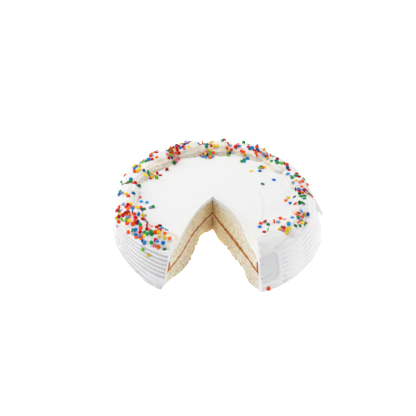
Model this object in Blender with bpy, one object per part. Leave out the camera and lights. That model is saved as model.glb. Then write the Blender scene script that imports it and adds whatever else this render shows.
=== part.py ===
"""Ice cream cake with one slice taken out of it.

Two pale crumb layers, with a thin cream filling between them, stand in a coat of white icing whose
side was combed into level grooves. A border of piped shells runs round the rim, each shell lying on
the tail of the one before it, and round confetti sprinkles stick to the border and the coat.

Metres, +Z up. The origin is the centre of the round base, and the slice is missing at -Y. Angles
round the cake are counted from -Y towards +X.
"""
import math
import random

import bmesh
import bpy
from mathutils import Matrix, Vector, noise
from mathutils.bvhtree import BVHTree

# The whole cake
CAKE_HEIGHT = 0.0435
FOOT_RADIUS = 0.1144
RIM_RADIUS = 0.1090
PIECE_GAP = 0.0003
# Each bend of the outline: its middle and its reach in degrees round the cake, and how far it stands out
FOOT_BENDS = ((88, 45, 0.0037), (36, 34, 0.0022), (-62, 42, -0.0036), (-34, 18, 0.0014))
RIM_BENDS = ((88, 52, -0.0063), (27, 22, -0.0030), (-84, 30, -0.0036), (-42, 20, 0.0010))

# The icing coat
ICING_SIDE = 0.0055
ICING_TOP = 0.0048
SHOULDER = 0.0042
SHOULDER_DROP = 0.0026
COMB_PITCH = 0.0049
COMB_DEPTH = 0.0016
COMB_LOWEST = 0.0030
COMB_GROOVES = 8
COMB_DRIFT = 0.0005
# Where the comb hardly touched the side: middle and reach in degrees, how sharply that ends, and how much
# of the grooves is gone
COMB_WORN = ((28, 8, 0.3, 1.0), (84, 34, 0.4, 0.92), (-88, 30, 0.5, 0.55))
SIDE_BULGE = 0.0020
SIDE_HOLLOW = 0.0010
FOOT_TUCK_IN = 0.0012
FOOT_FLARE = 0.0012
PATCH_DEPTH = 0.0014
FLAP_THICKNESS = 0.0048
FLAP_HALF_WIDTH = 0.0044
FLAP_ROOT_ANGLE = 99
FLAP_TIP_ANGLE = 86
FLAP_ROOT_HEIGHT = 0.0368
FLAP_TIP_HEIGHT = 0.0225
FLAP_ROOT_DEPTH = 0.0024
FLAP_LIFT = 0.0062
FLAP_STEPS = 6
FLAP_SIDES = 6
STATIONS = 48

# The crumb layers and the filling
LOWER_TOP = 0.0159
FILLING_THICKNESS = 0.0019
MIDDLE_RISE = 0.0032
RIM_DIP = 0.0016
MIDDLE_SHARE = 0.30
DIP_SHARE = 0.80
DIP_END_SHARE = 0.92
LEVEL_SHARES = (0.0, 0.12, MIDDLE_SHARE, DIP_SHARE, DIP_END_SHARE)
FLAT_ROOF_SHARE = 0.68
ROOF_SAG = 0.0034
CORE_SHOULDER = 0.0070

# The missing slice
SLICE_APEX = Vector((-0.0024, -0.0056))
LEFT_ANGLE = math.radians(23.5)
RIGHT_ANGLE = math.radians(26.0)
LEFT_BOW = 0.0043
LEFT_LEAN = 0.0050
LEAN_START = 0.060
LEAN_LENGTH = 0.045
RIGHT_SLOPE = 0.0060
SLOPE_START = 0.018
SLOPE_HEIGHT = 0.0205
CUT_STEP = 0.0058
CUT_STEPS = 19
CUT_REACH = 0.150
CUT_LEVELS = (-0.010, -0.0005, 0.0035, 0.0075, 0.011, 0.0180, 0.0280, 0.0385, CAKE_HEIGHT, 0.070)
TEAR_HEIGHT = 0.011
CRUMB_DEPTH = 0.0007
# Each tear along the floor: its middle and its reach along the cut, and how deep it goes, or stands out
LEFT_TEARS = ((0.016, 0.015, 0.0036), (0.060, 0.036, -0.0034), (0.098, 0.014, 0.0012))
RIGHT_TEARS = ((0.022, 0.012, -0.0020), (0.052, 0.022, -0.0006), (0.092, 0.022, -0.0042))

# The piped border
SHELL_COUNT = 13
BORDER_START = math.radians(17.0)
BORDER_END = math.radians(341.0)
BORDER_RADIUS = 0.0940
BORDER_BENDS = ((88, 52, -0.0022), (50, 30, 0.0020), (130, 40, -0.0032), (222, 90, -0.0036),
                (-52, 40, 0.0018))
SHELL_HALF_WIDTH = 0.0118
SHELL_HEIGHT = 0.0100
# Where shells are wider or taller than the others, or less: middle and reach in degrees, and the share
WIDER_SHELLS = ((90, 60, -0.14), (222, 95, 0.27))
TALLER_SHELLS = ((125, 45, -0.20), (205, 75, 0.28))
SHELL_RIDGES = 5
RIDGE_RELIEF = 0.06
FOOT_TUCK = 0.30
SHELL_STATIONS = 8
TAIL_OVERLAP = 0.22

# The sprinkles
SPRINKLE_RADIUS = 0.0021
SPRINKLE_THICKNESS = 0.0011
SPRINKLE_SIDES = 6
SPRINKLE_SPACING = 0.0048
SPRINKLES_ON_SHELLS = (3, 8, 9, 9, 7, 9, 9, 8, 10, 8, 11, 11, 10)
LOOSE_ON_TOP = ((-67, 0.0690), (-75, 0.0730), (-129, 0.0700), (110, 0.0550), (113, 0.0700), (132, 0.0670),
                (138, 0.0600))
LOOSE_ON_SIDE = ((-34.5, 0.033), (-38, 0.037), (-66, 0.031), (27, 0.0035))

random.seed(24)


def polar(radius, angle, height):
    """A point at an angle round the cake's axis."""
    return Vector((radius * math.sin(angle), -radius * math.cos(angle), height))


def bump(value, centre, reach):
    """A smooth hill of height 1 that fades out at a distance of reach."""
    distance = min(1.0, abs(value - centre) / reach)
    return (1 - distance * distance) ** 2


def turn_bump(angle, centre_deg, reach_deg):
    """A smooth hill over the angles round the cake."""
    difference = (math.degrees(angle) - centre_deg + 180) % 360 - 180
    return bump(difference, 0.0, reach_deg)


def make_material(name, colour, roughness):
    material = bpy.data.materials.new(name)
    material.use_nodes = True
    shader = material.node_tree.nodes["Principled BSDF"]
    shader.inputs["Base Color"].default_value = (*colour, 1.0)
    shader.inputs["Roughness"].default_value = roughness
    shader.inputs["Metallic"].default_value = 0.0
    material.diffuse_color = (*colour, 1.0)
    return material


def make_object(name, bm, material, smooth_angle=math.radians(40)):
    """Closes a bmesh into a named object with its faces pointing out."""
    bmesh.ops.recalc_face_normals(bm, faces=bm.faces)
    mesh = bpy.data.meshes.new(name)
    bm.to_mesh(mesh)
    bm.free()
    mesh.materials.append(material)
    mesh.shade_smooth()
    mesh.set_sharp_from_angle(angle=smooth_angle)
    part = bpy.data.objects.new(name, mesh)
    bpy.context.scene.collection.objects.link(part)
    return part


def turned_solid(profile_at, stations):
    """A solid turned round the axis, whose profile starts and ends on the axis and may change as it goes."""
    bm = bmesh.new()
    rings = []
    for step in range(stations):
        angle = math.tau * step / stations
        profile = profile_at(angle)
        rings.append([bm.verts.new(polar(radius, angle, height)) for radius, height in profile[1:-1]])
    first = bm.verts.new((0.0, 0.0, profile[0][1]))
    last = bm.verts.new((0.0, 0.0, profile[-1][1]))
    for near, far in zip(rings, rings[1:] + rings[:1]):
        bm.faces.new((first, near[0], far[0]))
        bm.faces.new((near[-1], last, far[-1]))
        for row in range(len(near) - 1):
            bm.faces.new((near[row], near[row + 1], far[row + 1], far[row]))
    return bm


def lofted_solid(sections):
    """A closed solid through a row of outlines that have the same number of points."""
    bm = bmesh.new()
    rings = [[bm.verts.new(point) for point in section] for section in sections]
    for near, far in zip(rings, rings[1:]):
        for row in range(len(near)):
            after = (row + 1) % len(near)
            bm.faces.new((near[row], near[after], far[after], far[row]))
    bm.faces.new(rings[0])
    bm.faces.new(rings[-1])
    bmesh.ops.triangulate(bm, faces=bm.faces)
    return bm


def apply_modifiers(part):
    """Keeps the evaluated mesh of a part and drops its modifiers."""
    depsgraph = bpy.context.evaluated_depsgraph_get()
    mesh = bpy.data.meshes.new_from_object(part.evaluated_get(depsgraph))
    part.modifiers.clear()
    part.data = mesh
    mesh.name = part.name


def subtract(part, cutter):
    """Cuts one object's shape out of a part; the exact solver loses some of the ridged shells."""
    modifier = part.modifiers.new("cut", "BOOLEAN")
    modifier.operation = "DIFFERENCE"
    modifier.object = cutter
    modifier.solver = "MANIFOLD"
    apply_modifiers(part)


# The wall of the cake

def bent_radius(radius, bends, angle):
    """A circle's radius with the bulges and dents of a coat that was spread by hand."""
    return radius + sum(depth * turn_bump(angle, middle, reach) for middle, reach, depth in bends)


def straight_wall(angle, height):
    """The radius of a plain side, from the outline of the foot up to that of the rim."""
    up = height / CAKE_HEIGHT
    foot = bent_radius(FOOT_RADIUS, FOOT_BENDS, angle)
    return foot * (1 - up) + bent_radius(RIM_RADIUS, RIM_BENDS, angle) * up


def core_radius(angle, height):
    """The radius of the layers inside the coat."""
    return straight_wall(angle, height) - ICING_SIDE


def smooth_wall(angle, height):
    """The icing's side before it is combed, which bulges on one side and is pressed in on the other."""
    bulge = SIDE_BULGE * turn_bump(angle, 75, 50) * bump(height, 0.022, 0.021)
    hollow = SIDE_HOLLOW * turn_bump(angle, 310, 55) * bump(height, 0.018, 0.025)
    return straight_wall(angle, height) + bulge - hollow


def comb_strength(angle):
    """How deep the comb went: not at all on the patch by the cut, and hardly round the +X side."""
    return 1.0 - sum(gone * turn_bump(angle, middle, reach) ** ending
                     for middle, reach, ending, gone in COMB_WORN)


def coat_wall(angle, height, groove):
    """The combed side, where groove is 0 on a ridge and 1 in a groove."""
    radius = smooth_wall(angle, height) - COMB_DEPTH * groove * comb_strength(angle)
    radius -= PATCH_DEPTH * turn_bump(angle, 29, 7) ** 0.4 * bump(height, 0.026, 0.016) ** 0.4
    radius += FOOT_FLARE * turn_bump(angle, 332, 20) * bump(height, 0.0, 0.009)
    return radius


def coat_profile(angle):
    """Half of the coat's section: the top, the combed side down to the foot, and back up inside."""
    top = smooth_wall(angle, CAKE_HEIGHT)
    profile = [(0.0, CAKE_HEIGHT)]
    profile += [(radius, rim_surface(radius, angle)) for radius in (top - SHOULDER, top - 0.45 * SHOULDER, top)]
    drift = COMB_DRIFT * math.sin(2 * angle)
    for index in range(COMB_GROOVES, 0, -1):
        groove = COMB_LOWEST + COMB_PITCH * (index - 0.5) + drift
        ridge = groove - 0.5 * COMB_PITCH
        profile.append((coat_wall(angle, groove, 1.0), groove))
        profile.append((coat_wall(angle, ridge, 0.0), ridge))
    profile.append((coat_wall(angle, 0.0, 0.0) - FOOT_TUCK_IN, 0.0))
    profile.append((core_radius(angle, 0.0) + PIECE_GAP, 0.0))
    profile += [(radius + PIECE_GAP, height) for radius, height in core_roof(angle, CAKE_HEIGHT - ICING_TOP)[:-1]]
    profile.append((0.0, CAKE_HEIGHT - ICING_TOP))
    return profile


def flap_of_icing():
    """The tongue of icing that the comb pulled off the rim: it runs down the side, its tip stands off."""
    sections = []
    for step in range(FLAP_STEPS + 1):
        along = step / FLAP_STEPS
        angle = math.radians(FLAP_ROOT_ANGLE + (FLAP_TIP_ANGLE - FLAP_ROOT_ANGLE) * along)
        height = FLAP_ROOT_HEIGHT + (FLAP_TIP_HEIGHT - FLAP_ROOT_HEIGHT) * along
        out = smooth_wall(angle, height) - FLAP_ROOT_DEPTH + FLAP_LIFT * along ** 1.4
        half_width = FLAP_HALF_WIDTH * (1 - 0.62 * along ** 2) * (1 + 0.12 * math.sin(9 * along))
        thickness = FLAP_THICKNESS * (1 - 0.45 * along)
        section = []
        for corner in range(FLAP_SIDES):
            turn = math.tau * corner / FLAP_SIDES
            across = half_width * math.cos(turn)
            through = 0.5 * thickness * math.sin(turn)
            section.append(polar(out + through, angle - 0.6 * across / out, height - 0.8 * across))
        sections.append(section)
    return lofted_solid(sections)


def rim_surface(radius, angle):
    """The height of the coat's top, which rounds off at the rim."""
    edge = smooth_wall(angle, CAKE_HEIGHT) - SHOULDER
    past = min(1.0, max(0.0, radius - edge) / SHOULDER)
    return CAKE_HEIGHT - SHOULDER_DROP * past * past


# The layers and the filling

def layer_rise(share):
    """How far the layers rise in the middle of the cake, and sink towards the rim."""
    dip = min(1.0, max(0.0, (share - DIP_SHARE) / (DIP_END_SHARE - DIP_SHARE)))
    return MIDDLE_RISE * max(0.0, 1 - share / MIDDLE_SHARE) ** 2 - RIM_DIP * dip


def level_points(angle, height, shares):
    """Points of a surface between the layers, in the order of their shares of the radius."""
    rim = core_radius(angle, height) - PIECE_GAP / 2
    return [(rim * share, height + layer_rise(share)) for share in shares]


def core_roof(angle, roof):
    """The top of the upper layer from its outer side inward: a round shoulder, a slope and the flat middle."""
    sunk = roof - ROOF_SAG
    rim = core_radius(angle, sunk)
    return [(core_radius(angle, sunk - CORE_SHOULDER), sunk - CORE_SHOULDER),
            (rim - 0.25 * CORE_SHOULDER, sunk - 0.30 * CORE_SHOULDER), (rim - CORE_SHOULDER, sunk),
            (FLAT_ROOF_SHARE * rim, roof), (0.0, roof)]


def lower_profile(angle):
    rim = core_radius(angle, 0.0) - PIECE_GAP / 2
    return [(0.0, 0.0), (rim - 0.0003, 0.0), *level_points(angle, LOWER_TOP, (1.0, *LEVEL_SHARES[::-1]))]


def filling_profile(angle):
    floor = LOWER_TOP + PIECE_GAP
    roof = floor + FILLING_THICKNESS
    return [*level_points(angle, floor, (*LEVEL_SHARES, 1.0)), *level_points(angle, roof, (1.0, *LEVEL_SHARES[::-1]))]


def upper_profile(angle):
    floor = LOWER_TOP + FILLING_THICKNESS + 2 * PIECE_GAP
    roof = core_roof(angle, CAKE_HEIGHT - ICING_TOP - PIECE_GAP)
    side = [(core_radius(angle, floor) - PIECE_GAP / 2, floor), (roof[0][0] - PIECE_GAP / 2, roof[0][1])]
    return [*level_points(angle, floor, (*LEVEL_SHARES, 0.985)), *side, *roof[1:]]


# The missing slice

def cut_offset(distance, height, side):
    """How far a cut face stands back from its plane: one is bowed and leans out near the foot, the other
    slopes back at the top, and bits are torn away, or left standing, along the floor."""
    height = min(CAKE_HEIGHT, max(0.0, height))
    if side < 0:
        outer = min(1.0, max(0.0, (distance - LEAN_START) / LEAN_LENGTH))
        offset = LEFT_BOW * bump(distance, 0.035, 0.048)
        offset += LEFT_LEAN * outer * (1 - height / CAKE_HEIGHT) ** 1.3
        tears = LEFT_TEARS
    else:
        upper = min(1.0, max(0.0, (height - SLOPE_START) / SLOPE_HEIGHT))
        offset = RIGHT_SLOPE * bump(distance, 0.038, 0.050) * upper
        tears = RIGHT_TEARS
    low = max(0.0, 1 - height / TEAR_HEIGHT)
    offset += low * sum(depth * bump(distance, middle, reach) for middle, reach, depth in tears)
    crumb = bump(distance, 0.052, 0.056) ** 0.3
    if height < CAKE_HEIGHT - ICING_TOP:
        offset += crumb * CRUMB_DEPTH * (1 + low) * noise.noise(Vector((distance * 190, height * 320, 14.0 * side)))
    return offset * min(1.0, distance / 0.010)


def slice_cutter():
    """The wedge of the missing slice, with the torn face on both sides."""
    bm = bmesh.new()
    distances = [CUT_STEP * step for step in range(CUT_STEPS + 1)] + [CUT_REACH]
    apex_line = [bm.verts.new((*SLICE_APEX, height)) for height in CUT_LEVELS]
    grids = []
    for side, opening in ((-1, LEFT_ANGLE), (1, RIGHT_ANGLE)):
        along = Vector((side * math.sin(opening), -math.cos(opening)))
        outward = Vector((side * math.cos(opening), math.sin(opening)))
        grid = []
        for height, apex in zip(CUT_LEVELS, apex_line):
            row = [apex]
            for distance in distances[1:]:
                point = SLICE_APEX + along * distance + outward * cut_offset(distance, height, side)
                row.append(bm.verts.new((*point, height)))
            grid.append(row)
        grids.append(grid)
    for grid in grids:
        for low, high in zip(grid, grid[1:]):
            for step in range(len(low) - 1):
                bm.faces.new((low[step], low[step + 1], high[step + 1], high[step]))
    for low_left, high_left, low_right, high_right in zip(grids[0], grids[0][1:], grids[1], grids[1][1:]):
        bm.faces.new((low_left[-1], high_left[-1], high_right[-1], low_right[-1]))
    for level in (0, -1):
        bm.faces.new(grids[0][level] + grids[1][level][:0:-1])
    bmesh.ops.triangulate(bm, faces=bm.faces)
    cutter = make_object("slice_cutter", bm, CRUMB)
    cutter.display_type = "WIRE"
    cutter.hide_render = True
    return cutter


# The piped border

def shell_span(index):
    """Where a shell starts and how far it reaches, with lengths a little uneven."""
    pitch = (BORDER_END - BORDER_START) / SHELL_COUNT
    start = BORDER_START + pitch * (index + 0.10 * math.sin(2.3 * index))
    after = BORDER_START + pitch * (index + 1 + 0.10 * math.sin(2.3 * (index + 1)))
    overlap = TAIL_OVERLAP if index < SHELL_COUNT - 1 else 0.0
    return start, (after - start) * (1 + overlap)


def shell_size(along, angle, index):
    """Half width and height of a shell, from its round head to its drawn-out tail."""
    head = min(1.0, along / 0.26)
    swell = math.sqrt(max(0.0, 1 - (1 - head) ** 2))
    tail = max(0.0, (along - 0.26) / 0.74)
    shrink = 1 - (0.55 if index < SHELL_COUNT - 1 else 0.28) * tail ** 1.25
    half_width = SHELL_HALF_WIDTH * (0.22 + 0.78 * swell) * shrink * (1 + 0.04 * math.sin(4.1 * index + 0.6))
    half_width *= bent_radius(1.0, WIDER_SHELLS, angle)
    height = SHELL_HEIGHT * (0.15 + 0.85 * swell) * shrink * (1 + 0.06 * math.sin(5.3 * index))
    height *= bent_radius(1.0, TALLER_SHELLS, angle)
    return half_width, height


def shell_section(index, along, grow):
    """A shell's outline across its length: ridged over the top, tucked in at both feet, flat below."""
    start, reach = shell_span(index)
    angle = start + reach * along + grow / BORDER_RADIUS * (2 * along - 1)
    half_width, height = shell_size(along, angle, index)
    middle = bent_radius(BORDER_RADIUS, BORDER_BENDS, angle) + 0.0010 * math.sin(2.9 * index)
    tuck = math.sin(FOOT_TUCK)
    foot = middle + half_width * math.cos(FOOT_TUCK)
    section = []
    steps = 2 * SHELL_RIDGES
    for step in range(steps + 1):
        turn = -FOOT_TUCK + (math.pi + 2 * FOOT_TUCK) * step / steps
        ridge = RIDGE_RELIEF * (1 - 2 * (step % 2)) if 0 < step < steps else 0.0
        radius = middle + (half_width * (1 + ridge) + grow) * math.cos(turn)
        rise = (height * (1 + ridge) + grow) * (math.sin(turn) + tuck) / (1 + tuck)
        floor = rim_surface(min(radius, foot), angle) + PIECE_GAP - 2 * grow
        section.append(polar(radius, angle, floor + rise))
    edge = smooth_wall(angle, CAKE_HEIGHT) - SHOULDER
    for radius in (min(edge, foot - 0.0010), min(edge + 0.55 * SHOULDER, foot - 0.0005)):
        section.append(polar(radius, angle, rim_surface(radius, angle) + PIECE_GAP - 2 * grow))
    return section


def shell_mesh(index, grow=0.0):
    """A ridged shell that lies on the coat, with its stations closer together at the head."""
    stations = [(station / (SHELL_STATIONS - 1)) ** 1.35 for station in range(SHELL_STATIONS)]
    return lofted_solid([shell_section(index, along, grow) for along in stations])


# The sprinkles

def sprinkle_disc(point, normal):
    """A small round disc, half sunk in a surface and tipped a little out of it."""
    tilt_axis = random.uniform(0, math.tau)
    tilt = Matrix.Rotation(math.radians(random.uniform(0, 24)), 4, (math.cos(tilt_axis), math.sin(tilt_axis), 0.0))
    bm = bmesh.new()
    bmesh.ops.create_cone(bm, cap_ends=True, segments=SPRINKLE_SIDES, radius1=SPRINKLE_RADIUS,
                          radius2=SPRINKLE_RADIUS, depth=SPRINKLE_THICKNESS)
    centre = point + normal * SPRINKLE_THICKNESS * random.uniform(0.12, 0.25)
    upright = normal.to_track_quat("Z", "Y").to_matrix().to_4x4()
    bmesh.ops.transform(bm, matrix=Matrix.Translation(centre) @ upright @ tilt, verts=bm.verts)
    return make_object("sprinkle", bm, SPRINKLE)


def fuse(part, extras):
    """Joins other objects to a part with one union, and removes them."""
    group = bpy.data.collections.new("extras")
    bpy.context.scene.collection.children.link(group)
    for extra in extras:
        bpy.context.scene.collection.objects.unlink(extra)
        group.objects.link(extra)
    modifier = part.modifiers.new("extras", "BOOLEAN")
    modifier.operation = "UNION"
    modifier.operand_type = "COLLECTION"
    modifier.collection = group
    modifier.solver = "MANIFOLD"
    apply_modifiers(part)
    for extra in extras:
        bpy.data.objects.remove(extra)
    bpy.data.collections.remove(group)


def surface_tree(part):
    return BVHTree.FromPolygons([vertex.co for vertex in part.data.vertices],
                                [face.vertices for face in part.data.polygons])


def places_on_shell(index, tree, neighbours, wanted):
    """Places for sprinkles on a shell, clear of each other, of its neighbours and of the coat."""
    clear = SPRINKLE_RADIUS + 0.0008
    places = []
    for _ in range(wanted * 60):
        if len(places) == wanted:
            break
        section = shell_section(index, random.uniform(0.08, 0.80), 0.0)
        guess = section[random.randint(2, 2 * SHELL_RIDGES - 2)]
        point, normal, _face, _distance = tree.find_nearest(guess)
        if normal.z < 0.1 or any(other.find_nearest(point)[3] < clear for other in neighbours):
            continue
        if any((point - placed).length < SPRINKLE_SPACING for placed, _normal in places):
            continue
        places.append((point, normal))
    return places


# The parts, put together from the middle outward

for old in list(bpy.data.objects):
    bpy.data.objects.remove(old, do_unlink=True)

ICING = make_material("white_icing", (0.90, 0.90, 0.88), 0.45)
CRUMB = make_material("pale_crumb", (0.78, 0.66, 0.45), 0.85)
CREAM = make_material("cream_filling", (0.90, 0.87, 0.78), 0.55)
SPRINKLE = make_material("sprinkle", (0.75, 0.10, 0.08), 0.40)

lower_layer = make_object("lower_cake_layer", turned_solid(lower_profile, STATIONS), CRUMB)
filling = make_object("cream_filling", turned_solid(filling_profile, STATIONS), CREAM)
upper_layer = make_object("upper_cake_layer", turned_solid(upper_profile, STATIONS), CRUMB)
coat = make_object("icing_coat", turned_solid(coat_profile, STATIONS), ICING)
shells = [make_object(f"piped_shell_{index + 1:02d}", shell_mesh(index), ICING) for index in range(SHELL_COUNT)]

# Each shell ends where the next one lies on its tail
for index, shell in enumerate(shells[:-1]):
    next_head = make_object("next_head", shell_mesh(index + 1, PIECE_GAP), ICING)
    subtract(shell, next_head)
    bpy.data.objects.remove(next_head)

slice_shape = slice_cutter()
for piece in (lower_layer, filling, upper_layer, coat, shells[0], shells[-1]):
    subtract(piece, slice_shape)
bpy.data.objects.remove(slice_shape)

coat_tree = surface_tree(coat)
shell_trees = [surface_tree(shell) for shell in shells]
for index, shell in enumerate(shells):
    neighbours = [coat_tree] + [shell_trees[other] for other in (index - 1, index + 1) if 0 <= other < SHELL_COUNT]
    found = places_on_shell(index, shell_trees[index], neighbours, SPRINKLES_ON_SHELLS[index])
    fuse(shell, [sprinkle_disc(point, normal) for point, normal in found])

loose = [polar(radius, math.radians(degrees), CAKE_HEIGHT) for degrees, radius in LOOSE_ON_TOP]
loose += [polar(FOOT_RADIUS, math.radians(degrees), height) for degrees, height in LOOSE_ON_SIDE]
discs = [sprinkle_disc(*coat_tree.find_nearest(guess)[:2]) for guess in loose]
fuse(coat, [make_object("flap", flap_of_icing(), ICING), *discs])
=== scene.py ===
"""The finish of an ice cream cake with one slice taken out of it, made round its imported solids.

Metres, +Z up. The origin is the centre of the round base, and the slice is missing at -Y. Angles
round the cake are counted from -Y towards +X.
"""
import math
import random

import bmesh
import bpy
import numpy as np
from mathutils import Matrix, Quaternion, Vector, noise
from mathutils.bvhtree import BVHTree


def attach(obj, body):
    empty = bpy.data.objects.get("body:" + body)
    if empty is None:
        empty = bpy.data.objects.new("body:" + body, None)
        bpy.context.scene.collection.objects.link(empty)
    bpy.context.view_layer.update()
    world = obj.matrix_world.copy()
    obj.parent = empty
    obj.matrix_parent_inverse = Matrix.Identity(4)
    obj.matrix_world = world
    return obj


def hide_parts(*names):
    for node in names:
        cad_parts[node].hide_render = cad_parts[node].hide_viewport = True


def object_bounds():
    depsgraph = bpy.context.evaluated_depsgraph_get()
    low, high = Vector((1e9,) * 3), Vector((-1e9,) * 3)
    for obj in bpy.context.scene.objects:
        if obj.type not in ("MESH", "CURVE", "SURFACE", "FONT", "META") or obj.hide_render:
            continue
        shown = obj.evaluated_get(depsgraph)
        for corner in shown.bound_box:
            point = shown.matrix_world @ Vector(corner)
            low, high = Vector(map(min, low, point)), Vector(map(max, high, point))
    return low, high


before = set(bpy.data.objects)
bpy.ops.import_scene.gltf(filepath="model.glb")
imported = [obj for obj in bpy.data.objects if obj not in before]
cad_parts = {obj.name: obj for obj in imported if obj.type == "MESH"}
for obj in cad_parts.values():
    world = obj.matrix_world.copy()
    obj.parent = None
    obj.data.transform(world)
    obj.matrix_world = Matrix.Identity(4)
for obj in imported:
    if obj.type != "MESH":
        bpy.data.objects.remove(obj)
cad_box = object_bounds()

random.seed(7)

# The studio is a floor that glows like a light table, in a bright room. A broad lamp hangs overhead and a
# softbox stands on each side, the left one the stronger. The camera looks down on the missing slice,
# turned a little on its own axis.
CAMERA_TARGET = Vector((0.0, 0.0, 0.025))
CAMERA_DISTANCE = 0.6483
CAMERA_RISE = math.radians(35.70)
CAMERA_ROLL = math.radians(0.72)
CAMERA_LENS = 51.92
CAMERA_SHIFT = (-0.0167, -0.0015)
SENSOR_WIDTH = 36.0
FLOOR_SIDE = 6.0
FLOOR_DROP = 0.0002
FLOOR_GREY = (0.40, 0.40, 0.40, 1.0)
FLOOR_ROUGHNESS = 0.9
FLOOR_SHINE = 0.1
FLOOR_GLOW = 1.10
WHITE_LIGHT = (1.0, 1.0, 1.0, 1.0)
ROOM_LIGHT = 0.38
# Each lamp: its place, its side in metres and its power in watts
LAMPS = {"overhead_lamp": ((-0.10, 0.18, 1.15), 0.7, 7.1),
         "left_softbox": ((-1.10, 0.20, 0.55), 0.8, 4.8),
         "right_softbox": ((1.10, 0.05, 0.50), 0.8, 2.5)}

camera = bpy.data.objects.new("camera", bpy.data.cameras.new("camera"))
bpy.context.scene.collection.objects.link(camera)
camera_way = Vector((0.0, -math.cos(CAMERA_RISE), math.sin(CAMERA_RISE)))
camera.location = CAMERA_TARGET + CAMERA_DISTANCE * camera_way
look = (CAMERA_TARGET - camera.location).to_track_quat("-Z", "Y")
camera.rotation_euler = (look @ Quaternion((0.0, 0.0, 1.0), CAMERA_ROLL)).to_euler()
camera.data.sensor_width = SENSOR_WIDTH
camera.data.lens = CAMERA_LENS
camera.data.shift_x, camera.data.shift_y = CAMERA_SHIFT
bpy.context.scene.camera = camera
bpy.context.scene.view_settings.view_transform = "Standard"

for name, (place, side, power) in LAMPS.items():
    lamp = bpy.data.objects.new(name, bpy.data.lights.new(name, "AREA"))
    bpy.context.scene.collection.objects.link(lamp)
    lamp.location = place
    lamp.rotation_euler = (-Vector(place)).to_track_quat("-Z", "Y").to_euler()
    lamp.data.shape = "DISK"
    lamp.data.size = side
    lamp.data.energy = power

room = bpy.data.worlds.new("room")
room.use_nodes = True
backdrop = room.node_tree.nodes["Background"]
backdrop.inputs["Color"].default_value = WHITE_LIGHT
backdrop.inputs["Strength"].default_value = ROOM_LIGHT
bpy.context.scene.world = room

floor_bm = bmesh.new()
bmesh.ops.create_grid(floor_bm, x_segments=1, y_segments=1, size=FLOOR_SIDE / 2)
bmesh.ops.translate(floor_bm, vec=(0.0, 0.0, -FLOOR_DROP), verts=floor_bm.verts)
floor_mesh = bpy.data.meshes.new("floor")
floor_bm.to_mesh(floor_mesh)
floor_bm.free()
floor = bpy.data.objects.new("floor", floor_mesh)
bpy.context.scene.collection.objects.link(floor)
floor_white = bpy.data.materials.new("floor_white")
floor_white.use_nodes = True
floor_shader = floor_white.node_tree.nodes["Principled BSDF"]
floor_shader.inputs["Base Color"].default_value = FLOOR_GREY
floor_shader.inputs["Roughness"].default_value = FLOOR_ROUGHNESS
floor_shader.inputs["Specular IOR Level"].default_value = FLOOR_SHINE
floor_shader.inputs["Emission Color"].default_value = WHITE_LIGHT
floor_shader.inputs["Emission Strength"].default_value = FLOOR_GLOW
floor_mesh.materials.append(floor_white)

# The lower layer is pale, open crumb, as wide as the cake inside its icing. The knife dragged it, so its
# cut faces are rough, and along the floor bits of it are torn out.
CAKE_HEIGHT = 0.0435
FOOT_RADIUS = 0.1144
RIM_RADIUS = 0.1090
PIECE_GAP = 0.0003
# Each bend of the outline: its middle and its reach in degrees round the cake, and how far it stands out
FOOT_BENDS = ((88, 45, 0.0037), (36, 34, 0.0022), (-62, 42, -0.0036), (-34, 18, 0.0014))
RIM_BENDS = ((88, 52, -0.0063), (27, 22, -0.0030), (-84, 30, -0.0036), (-42, 20, 0.0010))
ICING_SIDE = 0.0055
ICING_TOP = 0.0048
LOWER_TOP = 0.0159
MIDDLE_RISE = 0.0032
RIM_DIP = 0.0016
MIDDLE_SHARE = 0.30
DIP_SHARE = 0.80
DIP_LENGTH_SHARE = 0.12
SLICE_APEX = np.array((-0.0024, -0.0056))
LEFT_ANGLE = math.radians(23.5)
RIGHT_ANGLE = math.radians(26.0)
# The bow and the slope each have a middle and a reach along the cut
LEFT_BOW = 0.0043
BOW_MIDDLE = 0.035
BOW_REACH = 0.048
LEFT_LEAN = 0.0050
LEAN_CURVE = 1.3
LEAN_START = 0.060
LEAN_LENGTH = 0.045
RIGHT_SLOPE = 0.0060
SLOPE_MIDDLE = 0.038
SLOPE_REACH = 0.050
SLOPE_START = 0.018
SLOPE_HEIGHT = 0.0205
TEAR_HEIGHT = 0.011
APEX_FADE = 0.010
# The crumb's dents, rags, pores and dimples, with how many there are to a metre
CRUMB_DEPTH = 0.0007
DENTS_ALONG = 190
DENTS_UP = 320
# Each tear along the floor: its middle and its reach along the cut, and how deep it goes, or stands out
LEFT_TEARS = ((0.016, 0.015, 0.0036), (0.060, 0.036, -0.0034), (0.098, 0.014, 0.0012))
RIGHT_TEARS = ((0.022, 0.012, -0.0020), (0.052, 0.022, -0.0006), (0.092, 0.022, -0.0042))
RAGGED_HEIGHT = 0.0065
RAGGED_DEPTH = 0.0016
RAGS = 330
FINE_RAGS = 780
FACE_STEPS = 290
LAYER_ROWS = 40
LAYER_SPOKES = 40
PORE_DEPTH = 0.00060
PORES = 620
PORE_SIZE = 0.42
DIMPLES = 300
ROUGH_MIDDLE = 0.052
ROUGH_REACH = 0.056
SIDE_SHIFT = 14.0
SHEET_REACH = 0.016
SHARE_CURVE = 0.92
WELD_DISTANCE = 0.000004
SHARP_EDGE = 50.0


def hill(value, centre, reach):
    """A smooth hill of height 1 that fades out at a distance of reach."""
    distance = np.minimum(1.0, np.abs(value - centre) / reach)
    return (1 - distance ** 2) ** 2


def risen(value, start, length):
    """0 up to the start, then rising to 1 over the length."""
    return np.clip((value - start) / length, 0.0, 1.0)


def fallen(value, end, length):
    """1 until one length before the end, then falling to 0 there."""
    return np.clip((end - value) / length, 0.0, 1.0)


def faded(value, end):
    """1 at nought, falling to 0 at the end."""
    return np.clip(1 - value / end, 0.0, 1.0)


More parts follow.
